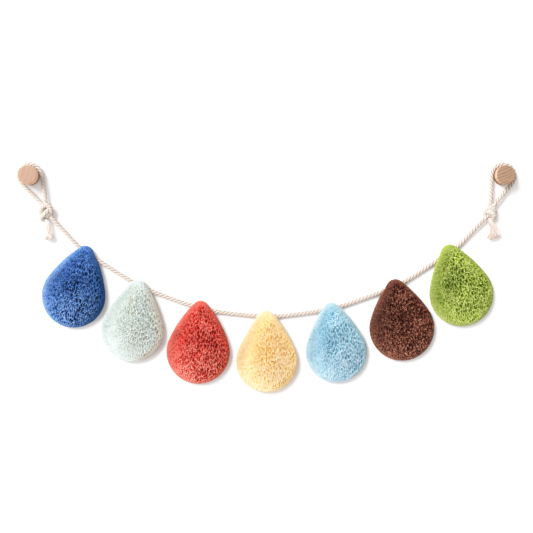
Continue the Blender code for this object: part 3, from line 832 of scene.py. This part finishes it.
def knot_core(side):
    """The crossed rope in the middle of a knot, of which only glimpses show between the turns."""
    centre, half_size = KNOT_CORES[side]
    bm = bmesh.new()
    bmesh.ops.create_icosphere(bm, subdivisions=3, radius=1.0)
    for vert in bm.verts:
        vert.co *= 1.0 + 0.10 * noise.noise(vert.co * 3.0)
    shape = Matrix.Translation(centre) @ Matrix.Diagonal((*half_size, 1.0))
    bmesh.ops.transform(bm, matrix=shape, verts=bm.verts)
    points = np.array([v.co for v in bm.verts])
    triangles = np.array([[v.index for v in f.verts] for f in bm.faces])
    bm.free()
    return {
        "points": points,
        "quads": np.zeros((0, 4), int),
        "triangles": triangles,
        "quad_uv": np.zeros((0, 2)),
        "triangle_uv": np.zeros((len(triangles) * 3, 2)),
    }, np.ones(len(points))


def tie_knot(side, rope, cotton):
    """A knot of the rope's end round its own standing part."""
    core, ridge = knot_core(side)
    parts = [core]
    ridges = [ridge]
    standing = (LOOP_ROUTES[side][0], SPAN_ROUTE[0 if side == "left" else -1])
    for run, size, pressed, shade_lift in (
        (standing, STANDING_SIZE, 1.0, STANDING_SHADE_LIFT),
        (KNOT_TURNS[side], TURNS_SIZE, TURNS_PRESSED, KNOT_SHADE_LIFT[side]),
    ):
        points = smooth_route(run, RING_STEP)
        part, ridge = laid_strands(points, rope.diameter * size, rope.lay * KNOT_LAY, pressed)
        parts.append(part)
        # The painted shade in the grooves is lifted by the run's share
        ridges.append(ridge + (1 - ridge) * shade_lift)
    knot = mesh_object(f"knot_{side}_tied", parts, {"ridge": np.concatenate(ridges)}, [cotton])
    finish_piece(knot, "cotton_rope", "knot_" + side)
    return knot


def fray_fibres(side, diameter, rng):
    """A free end let out of its lay: loose yarns run on from the knot, then spread and end unevenly."""
    lip = tuple(np.mean(FRAY_TIPS[side], axis=0))
    route = smooth_route((*TAIL_ROUTES[side], lip), FRAY_STEP)
    start, power = FRAY_SPREAD[side]
    share = run_lengths(route) / run_lengths(route)[-1]
    spread = (np.clip((share - start) / (1 - start), 0.0, 1.0) ** power)[:, None]
    # Above the fray the locks still lie in the rope's three strands
    twist = run_lengths(route) / FRAY_LAY + np.arange(3)[:, None] / 3
    laid = np.stack([np.cos(2 * math.pi * twist), np.sin(2 * math.pi * twist), 0 * twist], axis=-1)
    levels = np.linspace(0.0, 1.0, FIBRE_RINGS)
    taper = np.interp(levels, (0.0, 0.6, 1.0), (1.1, 1.0, 0.75))
    turn = 2 * math.pi * np.arange(FIBRE_CORNERS) / FIBRE_CORNERS
    rings = []
    feet = []
    tips = []
    shades = []
    for index, lock in enumerate(FRAY_TIPS[side]):
        lock_shade = rng.uniform(0.76, 1.08)
        for _ in range(FIBRES_A_LOCK):
            angle = rng.uniform(0.0, 2 * math.pi)
            offset = np.array((math.cos(angle), 0.7 * math.sin(angle), 0.0)) * math.sqrt(rng.random())
            width = diameter * 0.25 * (1 - spread) + FRAY_THICKNESS * 0.95 * spread
            end = np.array(lock) + np.array((0.0, 0.0, rng.uniform(*FRAY_UNEVEN)))
            line = route + offset * width + (end - route[-1]) * spread
            line += laid[index % 3] * diameter * 0.27 * (1 - spread)
            line[1:-1] += rng.normal(0.0, FIBRE_WAVER, (len(line) - 2, 3))
            reach = run_lengths(line)
            points = points_along(line, reach, levels * reach[-1])
            out, across = carried_frames(points)
            thick = (rng.uniform(*FIBRE_RADIUS) * taper)[:, None]
            rings.append(rings_round(points, out, across, thick * np.cos(turn), thick * np.sin(turn)))
            feet.append(points[0])
            tips.append(points[-1] + (points[-1] - points[-2]) * 0.1)
            shades.append(lock_shade * rng.uniform(0.80, 1.12))
    rings = np.array(rings)
    around = np.broadcast_to(rng.uniform(0.0, 40.0, (len(rings), 1)), rings.shape[:2])
    reach = np.broadcast_to(0.03 * levels, rings.shape[:2])
    part = tubes(rings, np.array(feet), np.array(tips), around, reach)
    return part, np.repeat(np.clip(shades, 0.0, 1.0), FIBRE_RINGS * FIBRE_CORNERS + 2)


def drop_outline(row, inset):
    """A raindrop's outline from its foot up the right side and down the left: points and normals.

    A belly circle and a tip circle are joined by one long side arc that touches both of them.
    """
    belly, tip, side, rise = (row[key] for key in ("belly", "tip", "side", "rise"))
    to_belly = side - belly
    to_tip = side - tip
    z = (to_belly**2 - to_tip**2 + rise**2) / (2 * rise)
    x = -math.sqrt(to_belly**2 - z**2)
    leave_belly = math.atan2(-z, -x)
    meet_tip = math.atan2(rise - z, -x)
    arcs = (
        ("belly", (0.0, 0.0), belly, -math.pi / 2, leave_belly),
        ("side", (x, z), side, leave_belly, meet_tip),
        ("tip", (0.0, rise), tip, meet_tip, math.pi / 2),
    )
    points = []
    normals = []
    for name, centre, radius, start, end in arcs:
        angle = np.linspace(start, end, ARC_STEPS[name], endpoint=False)
        normal = np.stack([np.cos(angle), np.sin(angle)], axis=1)
        points.append(np.array(centre) + (radius - inset) * normal)
        normals.append(normal)
    points.append([(0.0, rise + tip - inset)])
    normals.append([(0.0, 1.0)])
    points = np.concatenate(points)
    normals = np.concatenate(normals)
    mirror = np.array([-1.0, 1.0])
    return tuple(np.concatenate([half, half[-2:0:-1] * mirror]) for half in (points, normals))


def lump(x, z, phase):
    """The slow unevenness of a hand-clipped pile, from -1 to 1: a broad swell and a closer ripple."""
    turn = 2 * math.pi / SWELL_LENGTH
    swell = np.sin(turn * x + phase) * np.cos(turn * z - phase)
    ripple = np.sin(2 * math.pi * (x - z) / RIPPLE_LENGTH + 2 * phase)
    return (1 - RIPPLE_SHARE) * swell + RIPPLE_SHARE * ripple


def drop_surface(row, phase, sink):
    """Rows of points from a drop's back edge over its rim to its middle line, `sink` under the pile.

    Returns the points and how far each lies from the outline as seen from the front.
    """
    outline, normals = drop_outline(row, sink)
    rows = []
    edge = []
    for share in np.linspace(0.0, 1.0, SIDE_ROWS, endpoint=False):
        depth = DROP_BACK + (DROP_RIM - DROP_BACK) * share
        flat = outline - normals * np.interp(-depth, np.negative(SIDE_DEPTHS), SIDE_INSETS)
        rows.append(np.stack([flat[:, 0], np.full(len(flat), depth), flat[:, 1]], axis=1))
        edge.append(np.zeros(len(flat)))
    middle = np.clip(outline[:, 1], 0.0, CROWN_HEAD * row["rise"])
    crown = DROP_FRONT + sink - DROP_RIM
    for step in np.linspace(0.0, 1.0, CROWN_ROWS):
        share = CROWN_REACH * step**CROWN_CLOSER
        height = (1 - (1 - share) ** CROWN_POWER) ** (1 / CROWN_POWER)
        x = outline[:, 0] * (1 - share)
        z = outline[:, 1] + (middle - outline[:, 1]) * share
        lumps = LUMP_HEIGHT * lump(x, z, phase) * min(1.0, share / LUMP_START)
        rows.append(np.stack([x, DROP_RIM + crown * height + lumps, z], axis=1))
        edge.append(share * np.hypot(outline[:, 0], outline[:, 1] - middle))
    return np.array(rows), np.array(edge)


def closed_body(grid):
    """The closed form under the pile: its rows, a flat back and a seam of faces down the middle."""
    rows, count = grid.shape[:2]
    i = np.arange(count)
    j = (i + 1) % count
    level = (np.arange(rows - 1) * count)[:, None]
    quads = [np.stack([level + i, level + j, level + count + j, level + count + i], axis=-1).reshape(-1, 4)]
    triangles = []
    half = count // 2
    k = np.arange(1, half - 1)
    for start, flip in ((0, True), ((rows - 1) * count, False)):
        across = start + np.stack([k, k + 1, count - k - 1, count - k], axis=-1)
        ends = start + np.array([(0, 1, count - 1), (half - 1, half, half + 1)])
        quads.append(across[:, ::-1] if flip else across)
        triangles.append(ends[:, ::-1] if flip else ends)
    quads = np.concatenate(quads)
    triangles = np.concatenate(triangles)
    return {
        "points": grid.reshape(-1, 3),
        "quads": quads,
        "triangles": triangles,
        "quad_uv": np.zeros((len(quads) * 4, 2)),
        "triangle_uv": np.zeros((len(triangles) * 3, 2)),
    }


def smoothstep(low, high, value):
    """0 up to `low`, 1 from `high` on, and a soft rise between them."""
    share = np.clip((value - low) / (high - low), 0.0, 1.0)
    return share * share * (3 - 2 * share)


def search_tree(points):
    """A tree that finds the nearest of `points`."""
    tree = KDTree(len(points))
    for index, point in enumerate(points):
        tree.insert(point, index)
    tree.balance()
    return tree


def spaced_apart(points, spacing):
    """Which points to keep, in their order, so that none lies within its own spacing of another."""
    tree = search_tree(points)
    free = np.ones(len(points), bool)
    kept = []
    for index, point in enumerate(points):
        if free[index]:
            kept.append(index)
            for _, near, _ in tree.find_range(point, spacing[index]):
                free[near] = False
    return np.array(kept)


def slow_noise(points, size, shift):
    """A number from about -1 to 1 for each point, which changes over places of the given size."""
    return np.array([noise.noise(Vector(p) / size + Vector(shift)) for p in points])


def scatter(outer, inner, edge, rng):
    """Random places over a drop's pile, evenly by area: the point on each surface and its edge distance."""
    rows, count = edge.shape
    wrap = np.concatenate([outer, outer[:, :1]], axis=1)
    diagonals = (wrap[1:, 1:] - wrap[:-1, :-1], wrap[1:, :-1] - wrap[:-1, 1:])
    area = np.linalg.norm(np.cross(*diagonals), axis=-1)
    cell = rng.choice(area.size, CANDIDATES, p=(area / area.sum()).ravel())
    row, column = np.divmod(cell, count)
    after = (column + 1) % count
    u, v = rng.random((2, CANDIDATES, 1))
    found = []
    for grid in (outer, inner, edge[:, :, None]):
        low = grid[row, column] * (1 - u) + grid[row, after] * u
        high = grid[row + 1, column] * (1 - u) + grid[row + 1, after] * u
        found.append(low * (1 - v) + high * v)
    return found[0], found[1], found[2][:, 0]


def place_tufts(row, phase, wool, rng):
    """Where a drop's tufts stand, each with its cut end and its root, before the drop is hung.

    `inside` is 0 on the clipped rim and 1 well within it, `glow` is the painted light on the rim of the
    left flank there, and `flank` is how far the painted shade on the right side reaches.
    """
    outer, edge = drop_surface(row, phase, 0.0)
    inner, _ = drop_surface(row, phase, wool.pile_length)
    tip, root, in_by = scatter(outer, inner, edge, rng)
    outward = tip[:, 0] / row["belly"]
    foot = np.clip(-tip[:, 2] / row["belly"], 0.0, 1.0)
    band = BAND - BAND_FOOT * foot - BAND_RIGHT * (1 - foot) * tip[:, 0] / row["belly"]
    inside = smoothstep(0.20, 1.6, in_by / band)
    # Painted shade on the right flank, near the rim
    flank = (1 - smoothstep(0.3, 1.3, in_by / FLANK_BAND)) * smoothstep(-0.1, 0.8, outward)
    # Painted light on the rim of the left flank; for a glow below 0, painted shade there and light on the
    # right
    if row["glow"] > 0:
        outward = np.minimum(outward, 0.0)
    glow = -row["glow"] * outward * (1 - smoothstep(0.3, 1.3, in_by / band))
    keep = spaced_apart(tip, wool.rim_spacing + (wool.spacing - wool.rim_spacing) * inside)
    tufts = {"tip": tip, "root": root, "inside": inside, "glow": glow, "flank": flank}
    return {key: found[keep] for key, found in tufts.items()}


def felted_net(tip, spacing, belly, phase, rng):
    """How high each tuft stands in the felted pile, its way up, and how the pile runs there.

    Shorn wool felts into a net of short winding ridges round small dark pores, which are longest near
    the foot of the drop.
    """
    pores = tip[spaced_apart(tip * PORE_CLOSENESS, spacing * rng.uniform(*PORE_SPACINGS, len(tip)))]
    swing = slow_noise(pores, SWING_PLACE, (phase, 3.0, 0.0))
    angle = swing * PORE_SWING + rng.normal(0.0, PORE_STRAY, len(pores))
    run = np.stack([np.sin(angle), np.zeros(len(pores)), np.cos(angle)], axis=1)
    stretch = PORE_STRETCH + PORE_STRETCH_FOOT * smoothstep(0.2, 0.9, -pores[:, 2] / belly)
    patchy = slow_noise(pores, PATCH_PLACE, (0.0, phase, 5.0))
    depth = rng.uniform(*PORE_DEPTHS, len(pores)) * np.clip(1 + PATCH_DEPTH * patchy, *PATCH_DEPTHS)
    tree = search_tree(pores)
    height = np.zeros(len(tip))
    away = np.zeros((len(tip), 3))
    owner = np.zeros(len(tip), int)
    for index, point in enumerate(tip):
        near = np.array([found[1] for found in tree.find_n(point, NEAR_PORES)])
        offset = point - pores[near]
        along = (offset * run[near]).sum(axis=1)
        across = np.linalg.norm(offset - run[near] * along[:, None], axis=1)
        far = np.hypot(across, along / stretch[near])
        first, second = np.argsort(far)[:2]
        share = 2 * far[first] / (far[first] + far[second])
        height[index] = 1 - (1 - share) ** PORE_STEEPNESS * depth[near[first]]
        away[index] = offset[first] * (1 - share)
        owner[index] = near[first]
    return height, away, run[owner]


def broad_shade(row, tip, inside):
    """Painted light and shade of each tuft by place: lighter at the head, left and upper middle, darker to
    the right.
    """
    u = tip[:, 0] / row["belly"]
    v = tip[:, 2] / row["belly"]
    share = np.maximum(inside, smoothstep(0.4, 1.0, v))
    middle = 0.12 * np.exp(-((u / 0.2) ** 2)) * smoothstep(-0.5, 0.0, v)
    head = row["lighter_up"] * (np.maximum(v, -0.35) - 0.1)
    return 1 + share * (head - row["darker_right"] * u + middle)


def hang(row, ways, places=()):
    """Turns directions and places to a drop's lean, and moves the places to where it hangs."""
    turn = np.array(Matrix.Rotation(math.radians(row["lean_deg"]), 3, "Y")).T
    spot = np.array((row["x"], 0.0, row["z"]))
    return [*(way @ turn for way in ways), *(place @ turn + spot for place in places)]


def shear_tufts(row, phase, wool, tufts, rng):
    """Cuts each tuft to its length and leans it in the felted pile, then hangs the drop.

    Adds where a tuft would `reach` if it stood straight along its `grain`, how `shaggy` and how high the
    pile is there, how `low` on the drop it is, and the `broad` shade of its place.
    """
    tip, root = tufts["tip"], tufts["root"]
    brushed = smoothstep(-0.80, 0.50, tip[:, :1] / row["belly"])
    shaggy = tufts["inside"][:, None] * (BRUSHED + (1 - BRUSHED) * brushed)
    root[:, ::2] += (tip - root)[:, ::2] * STRAIGHTENED * shaggy
    grain = (tip - root) / np.linalg.norm(tip - root, axis=1, keepdims=True)
    height, away, run = felted_net(tip, wool.pore_spacing, row["belly"], phase, rng)
    relief = min(RELIEF_MOST, row["contrast"]) ** RELIEF_POWER
    lean = away * (PORE_LEAN * shaggy) - run * (RIDGE_LEAN * shaggy * relief)
    lean += rng.normal(0.0, STRAY_LEAN, lean.shape)
    lean -= grain * (lean * grain).sum(axis=1, keepdims=True)
    own = wool.unevenness * relief * (0.10 + 0.90 * shaggy)
    uneven = LENGTH_BY_HEIGHT * (height[:, None] - MID_HEIGHT)
    uneven += LENGTH_BY_CHANCE * rng.uniform(-1.0, 1.0, (len(tip), 1))
    length = np.linalg.norm(tip - root, axis=1, keepdims=True) + own * uneven
    reach = root + grain * length
    tip = reach + lean
    tufts["shaggy"] = shaggy
    tufts["height"] = height
    tufts["low"] = tip[:, 2] / row["belly"]
    tufts["broad"] = broad_shade(row, tip, tufts["inside"])
    hung = hang(row, (grain,), (root, reach, tip))
    tufts.update(zip(("grain", "root", "reach", "tip"), hung))


def tuft_tubes(tufts, rng):
    """A three-sided tuft from each root to its cut end, thickest at the cut."""
    root, reach, tip = (tufts[key] for key in ("root", "reach", "tip"))
    tip[:, 1] = np.minimum(tip[:, 1], DROP_BACK)
    count = len(root)
    axis = tip - root
    axis /= np.linalg.norm(axis, axis=1, keepdims=True)
    side = np.cross(axis, rng.normal(size=(count, 3)))
    side /= np.linalg.norm(side, axis=1, keepdims=True)
    up = np.cross(axis, side)
    thick = (TUFT_RADIUS + TUFT_RADIUS_INSIDE * tufts["shaggy"]) * rng.uniform(0.75, 1.25, (count, 1))
    corner = 2 * math.pi * np.arange(TUFT_CORNERS) / TUFT_CORNERS
    along = TUFT_LEVELS[None, :, None]
    centre = root[:, None] + (reach - root)[:, None] * along + (tip - reach)[:, None] * along**2
    radius = thick[:, None] * TUFT_WIDTHS[None, :, None] * rng.uniform(0.82, 1.2, (count, 2, TUFT_CORNERS))
    out_by, across_by = (radius * way(corner) for way in (np.cos, np.sin))
    rings = rings_round(centre, side[:, None], up[:, None], out_by, across_by)
    rings[..., 1] = np.minimum(rings[..., 1], DROP_BACK)
    around = np.broadcast_to(rng.uniform(0.0, 90.0, (count, 1)), (count, 2))
    up_the_tuft = np.broadcast_to(TUFT_LEVELS * 0.8, (count, 2))
    return tubes(rings, root - tufts["grain"] * ROOT_DEPTH, tip, around, up_the_tuft)


def tuft_tones(row, tufts, rng):
    """The numbers that colour each point of the tufts: its rise, tone, paleness and painted shade on the
    flank.
    """
    inside, glow, height, low = (tufts[key] for key in ("inside", "glow", "height", "low"))
    shaggy = tufts["shaggy"][:, 0]
    ridge = np.clip(height, 0.0, 1.0)
    foot = np.clip(-low, 0.0, 1.0)
    # Painted light on the ridges and painted shade in the pores, least where the pile is level
    tone = RIDGE_TONE * (height - MID_HEIGHT) + rng.normal(0.0, STRAY_TONE, len(height))
    tone = PLAIN_TONE + row["contrast"] * (0.25 + 0.75 * shaggy) * tone + GLOW_TONE * glow
    # Painted light on the brushed pile, painted shade on the rim, and the broad painted light and shade
    tone += BRUSHED_TONE * (inside - shaggy)
    tone -= RIM_TONE * (1 - inside) * (1 - 1.5 * foot)
    tone *= tufts["broad"]
    # Cut ends are pale on the ridges, in dark wool on fewer of them, and evenly so on the level rim: partly
    # their own paler colour and partly painted highlight, paler still as painted light where the glow is
    faded = PALE_RIDGE - row["fading"] * np.minimum(low, 0.35)
    sparse = 1 + 0.3 * max(0.0, row["contrast"] - 1)
    pale = rng.uniform(0.3, 1.0, len(height)) ** sparse * ridge**5 * faded
    pale *= min(1.8, 0.5 + 0.5 * row["contrast"])
    pale += (PALE_RIM + PALE_RIM_FOOT * foot - pale) * (1 - smoothstep(0.0, 0.5, shaggy)) + 0.5 * glow
    # The rise is lower in the pores, so that more of the root's painted shade shows there
    rise = np.concatenate([np.repeat(TUFT_LEVELS, TUFT_CORNERS), [0.0, 1.0]])
    return {
        "rise": np.outer(1 - shaggy * (1 - ridge), rise).ravel(),
        "tone": np.repeat(np.clip(tone, 0.0, 1.0), len(rise)),
        "pale": np.repeat(np.clip(pale, 0.0, 1.0), len(rise)),
        "flank": np.repeat(tufts["flank"], len(rise)),
    }


def make_drop(row, phase, wool, rope_line, rng):
    """A raindrop: tufts level on the clipped rim and felted inside it, over a backing of plain cloth."""
    grid, _ = drop_surface(row, phase, wool.pile_length)
    backing = closed_body(*hang(row, (), (grid,)))
    tufts = place_tufts(row, phase, wool, rng)
    shear_tufts(row, phase, wool, tufts, rng)
    middles = (tufts["root"] + tufts["tip"]) / 2
    clear = np.array([rope_line.find(p)[2] for p in middles]) > ROPE_CLEARANCE
    tufts = {key: found[clear] for key, found in tufts.items()}
    part = tuft_tubes(tufts, rng)
    values = tuft_tones(row, tufts, rng)
    # The backing has the tone of plain wool, and is 0 in all else
    flat = np.zeros(len(backing["points"]))
    values = {key: np.concatenate([flat + (key == "tone") / 2, found]) for key, found in values.items()}
    slot = "wool_" + row["name"]
    node_name = "drop_" + row["name"]
    colours = [getattr(wool, f"{row['name']}_{layer}") for layer in WOOL_LAYERS]
    materials = [
        cut_pile_wool(slot + "_cut_pile", *colours),
        tufting_cloth(slot + "_tufting_cloth", *colours[:2]),
    ]
    made = mesh_object(node_name + "_pile", [backing, part], values, materials)
    for face in made.data.polygons:
        if face.normal.y > 0.9 and face.center.y > DROP_BACK - MM / 100 and face.area > 4e-6:
            face.material_index = 1
    finish_piece(made, slot, node_name)


def turn_peg(name, peg, end, side, ring_angle_deg, contrast):
    """A round peg, turned: a head with a rounded front edge on a slightly thinner neck."""
    low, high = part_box(name)
    centre = (low + high) / 2
    radius = (high.z - low.z) / 2
    length = high.y - low.y
    behind = peg.head - length
    thin = radius - peg.neck
    profile = [(thin - MM / 2, 0.0), (thin, -MM / 2), (thin, behind + MM)]
    profile += [(radius - PEG_CHAMFER, behind + PEG_CHAMFER), (radius, behind - PEG_CHAMFER)]
    for step in range(PEG_EDGE_STEPS + 1):
        angle = math.pi / 2 * step / PEG_EDGE_STEPS
        inwards, forwards = (peg.edge * (1 - way(angle)) for way in (math.cos, math.sin))
        profile.append((radius - inwards, -length + forwards))
    profile.append((radius / 2, -length))
    turn = 2 * math.pi * np.arange(PEG_STEPS) / PEG_STEPS
    rings = np.array([[(r * math.cos(t), y, r * math.sin(t)) for t in turn] for r, y in profile])
    back, front = (np.array([(0.0, y, 0.0)]) for y in (0.0, -length))
    plain = np.zeros((1, len(profile)))
    wood = turned_beech(name + "_turned_beech", end, side, peg.neck_shade, behind, ring_angle_deg, contrast)
    made = mesh_object(name + "_turned", [tubes(rings[None], back, front, plain, plain)], {}, [wood])
    made.location = (centre.x, high.y, centre.z)
    finish_piece(made, "beech", name)


def expose_film(view):
    """Prints light levels with a camera's soft shoulder instead of a hard white."""
    view.view_transform = "Standard"
    view.use_curve_mapping = True
    film = view.curve_mapping
    film.white_level = (FILM_WHITE, FILM_WHITE, FILM_WHITE)
    film.extend = "HORIZONTAL"
    for light, tone in FILM_SHOULDER:
        film.curves[3].points.new(light / FILM_WHITE, tone)
    film.update()


def place_camera(scene):
    """A camera that looks level at the wall."""
    camera = bpy.data.cameras.new("camera")
    camera.lens = CAMERA_LENS_MM
    camera.sensor_width = SENSOR_WIDTH_MM
    eye = bpy.data.objects.new("camera", camera)
    eye.location = CAMERA_PLACE
    eye.rotation_euler = (math.radians(90), 0.0, 0.0)
    scene.collection.objects.link(eye)
    scene.camera = eye


def place_sheet(name, scene, corners, paint):
    """A flat sheet of the stage, which throws no shadow or colour on the garland."""
    mesh = bpy.data.meshes.new(name)
    mesh.from_pydata(corners, [], [(0, 1, 2, 3)])
    mesh.materials.append(paint)
    sheet = bpy.data.objects.new(name, mesh)
    scene.collection.objects.link(sheet)
    sheet.visible_shadow = False
    sheet.visible_diffuse = False
    sheet.visible_glossy = False


class GARLAND_OT_stage(bpy.types.Operator):
    """Sets up the camera, the wall behind the garland, a pale floor and soft light"""

    bl_idname = "garland.stage"
    bl_label = "Camera, wall and light"

    def execute(self, context):
        settings = context.scene.garland_stage
        scene = context.scene
        expose_film(scene.view_settings)
        place_camera(scene)
        paint = one_sided_paint("matt_wall_paint", settings.wall)
        foot = [(STAGE_LEFT, WALL_FACE, STAGE_FLOOR), (STAGE_RIGHT, WALL_FACE, STAGE_FLOOR)]
        top = [(STAGE_RIGHT, WALL_FACE, STAGE_TOP), (STAGE_LEFT, WALL_FACE, STAGE_TOP)]
        front = [(STAGE_LEFT, STAGE_FRONT, STAGE_FLOOR), (STAGE_RIGHT, STAGE_FRONT, STAGE_FLOOR)]
        place_sheet("wall", scene, foot + top, paint)
        place_sheet("floor", scene, front + foot[::-1], paint)
        for name, (spread_deg, aim) in SUNS.items():
            light = bpy.data.lights.new(name, "SUN")
            light.energy = getattr(settings, name)
            light.angle = math.radians(spread_deg)
            lamp = bpy.data.objects.new(name, light)
            lamp.rotation_euler = Vector(aim).to_track_quat("-Z", "Y").to_euler()
            scene.collection.objects.link(lamp)
        scene.world = studio_light("studio", settings.fill, settings.bounce, settings.tint)
        return {"FINISHED"}


class GARLAND_OT_rope(bpy.types.Operator):
    """Lays the rope's span between the two knots"""

    bl_idname = "garland.rope"
    bl_label = "Rope span"

    def execute(self, context):
        rope = context.scene.garland_rope
        cotton = laid_cotton("cotton_laid_undyed", rope.ridge, rope.groove)
        lay_rope("rope_span", SPAN_ROUTE, SPAN_SHADE_LIFT, rope, cotton)
        return {"FINISHED"}


class GARLAND_OT_knots(bpy.types.Operator):
    """Ties the knots under the pegs, frays the rope's free ends and hangs a loop over each peg"""

    bl_idname = "garland.knots"
    bl_label = "Knots, frayed ends and loops"

    def execute(self, context):
        rope = context.scene.garland_rope
        cotton = bpy.data.materials["cotton_laid_undyed"]
        combed = laid_cotton("cotton_frayed_undyed", rope.combed, rope.groove)
        rng = np.random.default_rng(SEED)
        for side in ("left", "right"):
            knot = tie_knot(side, rope, cotton)
            fibres, shade = fray_fibres(side, rope.diameter, rng)
            tail = mesh_object(f"tail_{side}_frayed", [fibres], {"ridge": shade}, [combed])
            finish_piece(tail, "cotton_rope", "tail_" + side)
            # The loop's painted groove shade is lifted by one share all along
            lifted = (LOOP_SHADE_LIFT[side], LOOP_SHADE_LIFT[side])
            lay_rope("loop_" + side, LOOP_ROUTES[side], lifted, rope, cotton)
        return {"FINISHED"}


class GARLAND_OT_drops(bpy.types.Operator):
    """Tufts the seven raindrops"""

    bl_idname = "garland.drops"
    bl_label = "Wool raindrops"

    def execute(self, context):
        wool = context.scene.garland_wool
        rope_line = search_tree(smooth_route(SPAN_ROUTE, RING_STEP))
        for index, values in enumerate(DROPS):
            rng = np.random.default_rng(SEED + index)
            make_drop(dict(zip(DROP_COLUMNS, values)), index * PHASE_STEP, wool, rope_line, rng)
        return {"FINISHED"}


class GARLAND_OT_pegs(bpy.types.Operator):
    """Turns the two beech pegs"""

    bl_idname = "garland.pegs"
    bl_label = "Wall pegs"

    def execute(self, context):
        peg = context.scene.garland_peg
        for side, rings in PEG_RINGS.items():
            faces = (getattr(peg, side + "_end"), getattr(peg, side + "_side"))
            turn_peg("peg_" + side, peg, *faces, *rings)
        return {"FINISHED"}


class GARLAND_PT_sidebar(bpy.types.Panel):
    """Lists the garland's sizes, colours and building steps"""

    bl_idname = "GARLAND_PT_sidebar"
    bl_label = "Raindrop garland"
    bl_space_type = "VIEW_3D"
    bl_region_type = "UI"
    bl_category = "Garland"

    def draw(self, context):
        for step, settings in STEPS:
            box = self.layout.box()
            for name in settings.__annotations__ if settings else ():
                box.prop(getattr(context.scene, POINTERS[settings]), name)
            box.operator(step.bl_idname)


POINTERS = {
    GARLAND_PG_stage: "garland_stage",
    GARLAND_PG_rope: "garland_rope",
    GARLAND_PG_wool: "garland_wool",
    GARLAND_PG_peg: "garland_peg",
}
# The operators in the order in which they run, each with the settings that it reads first
STEPS = (
    (GARLAND_OT_stage, GARLAND_PG_stage),
    (GARLAND_OT_rope, GARLAND_PG_rope),
    (GARLAND_OT_knots, None),
    (GARLAND_OT_drops, GARLAND_PG_wool),
    (GARLAND_OT_pegs, GARLAND_PG_peg),
)
CLASSES = (*POINTERS, *(step for step, _ in STEPS), GARLAND_PT_sidebar)


def register():
    for cls in CLASSES:
        bpy.utils.register_class(cls)
    for cls, name in POINTERS.items():
        setattr(bpy.types.Scene, name, bpy.props.PointerProperty(type=cls))


def unregister():
    for name in POINTERS.values():
        delattr(bpy.types.Scene, name)
    for cls in reversed(CLASSES):
        bpy.utils.unregister_class(cls)


def main():
    register()
    bpy.ops.garland.stage()
    bpy.ops.garland.rope()
    bpy.ops.garland.knots()
    bpy.ops.garland.drops()
    bpy.ops.garland.pegs()


if __name__ == "__main__":
    main()
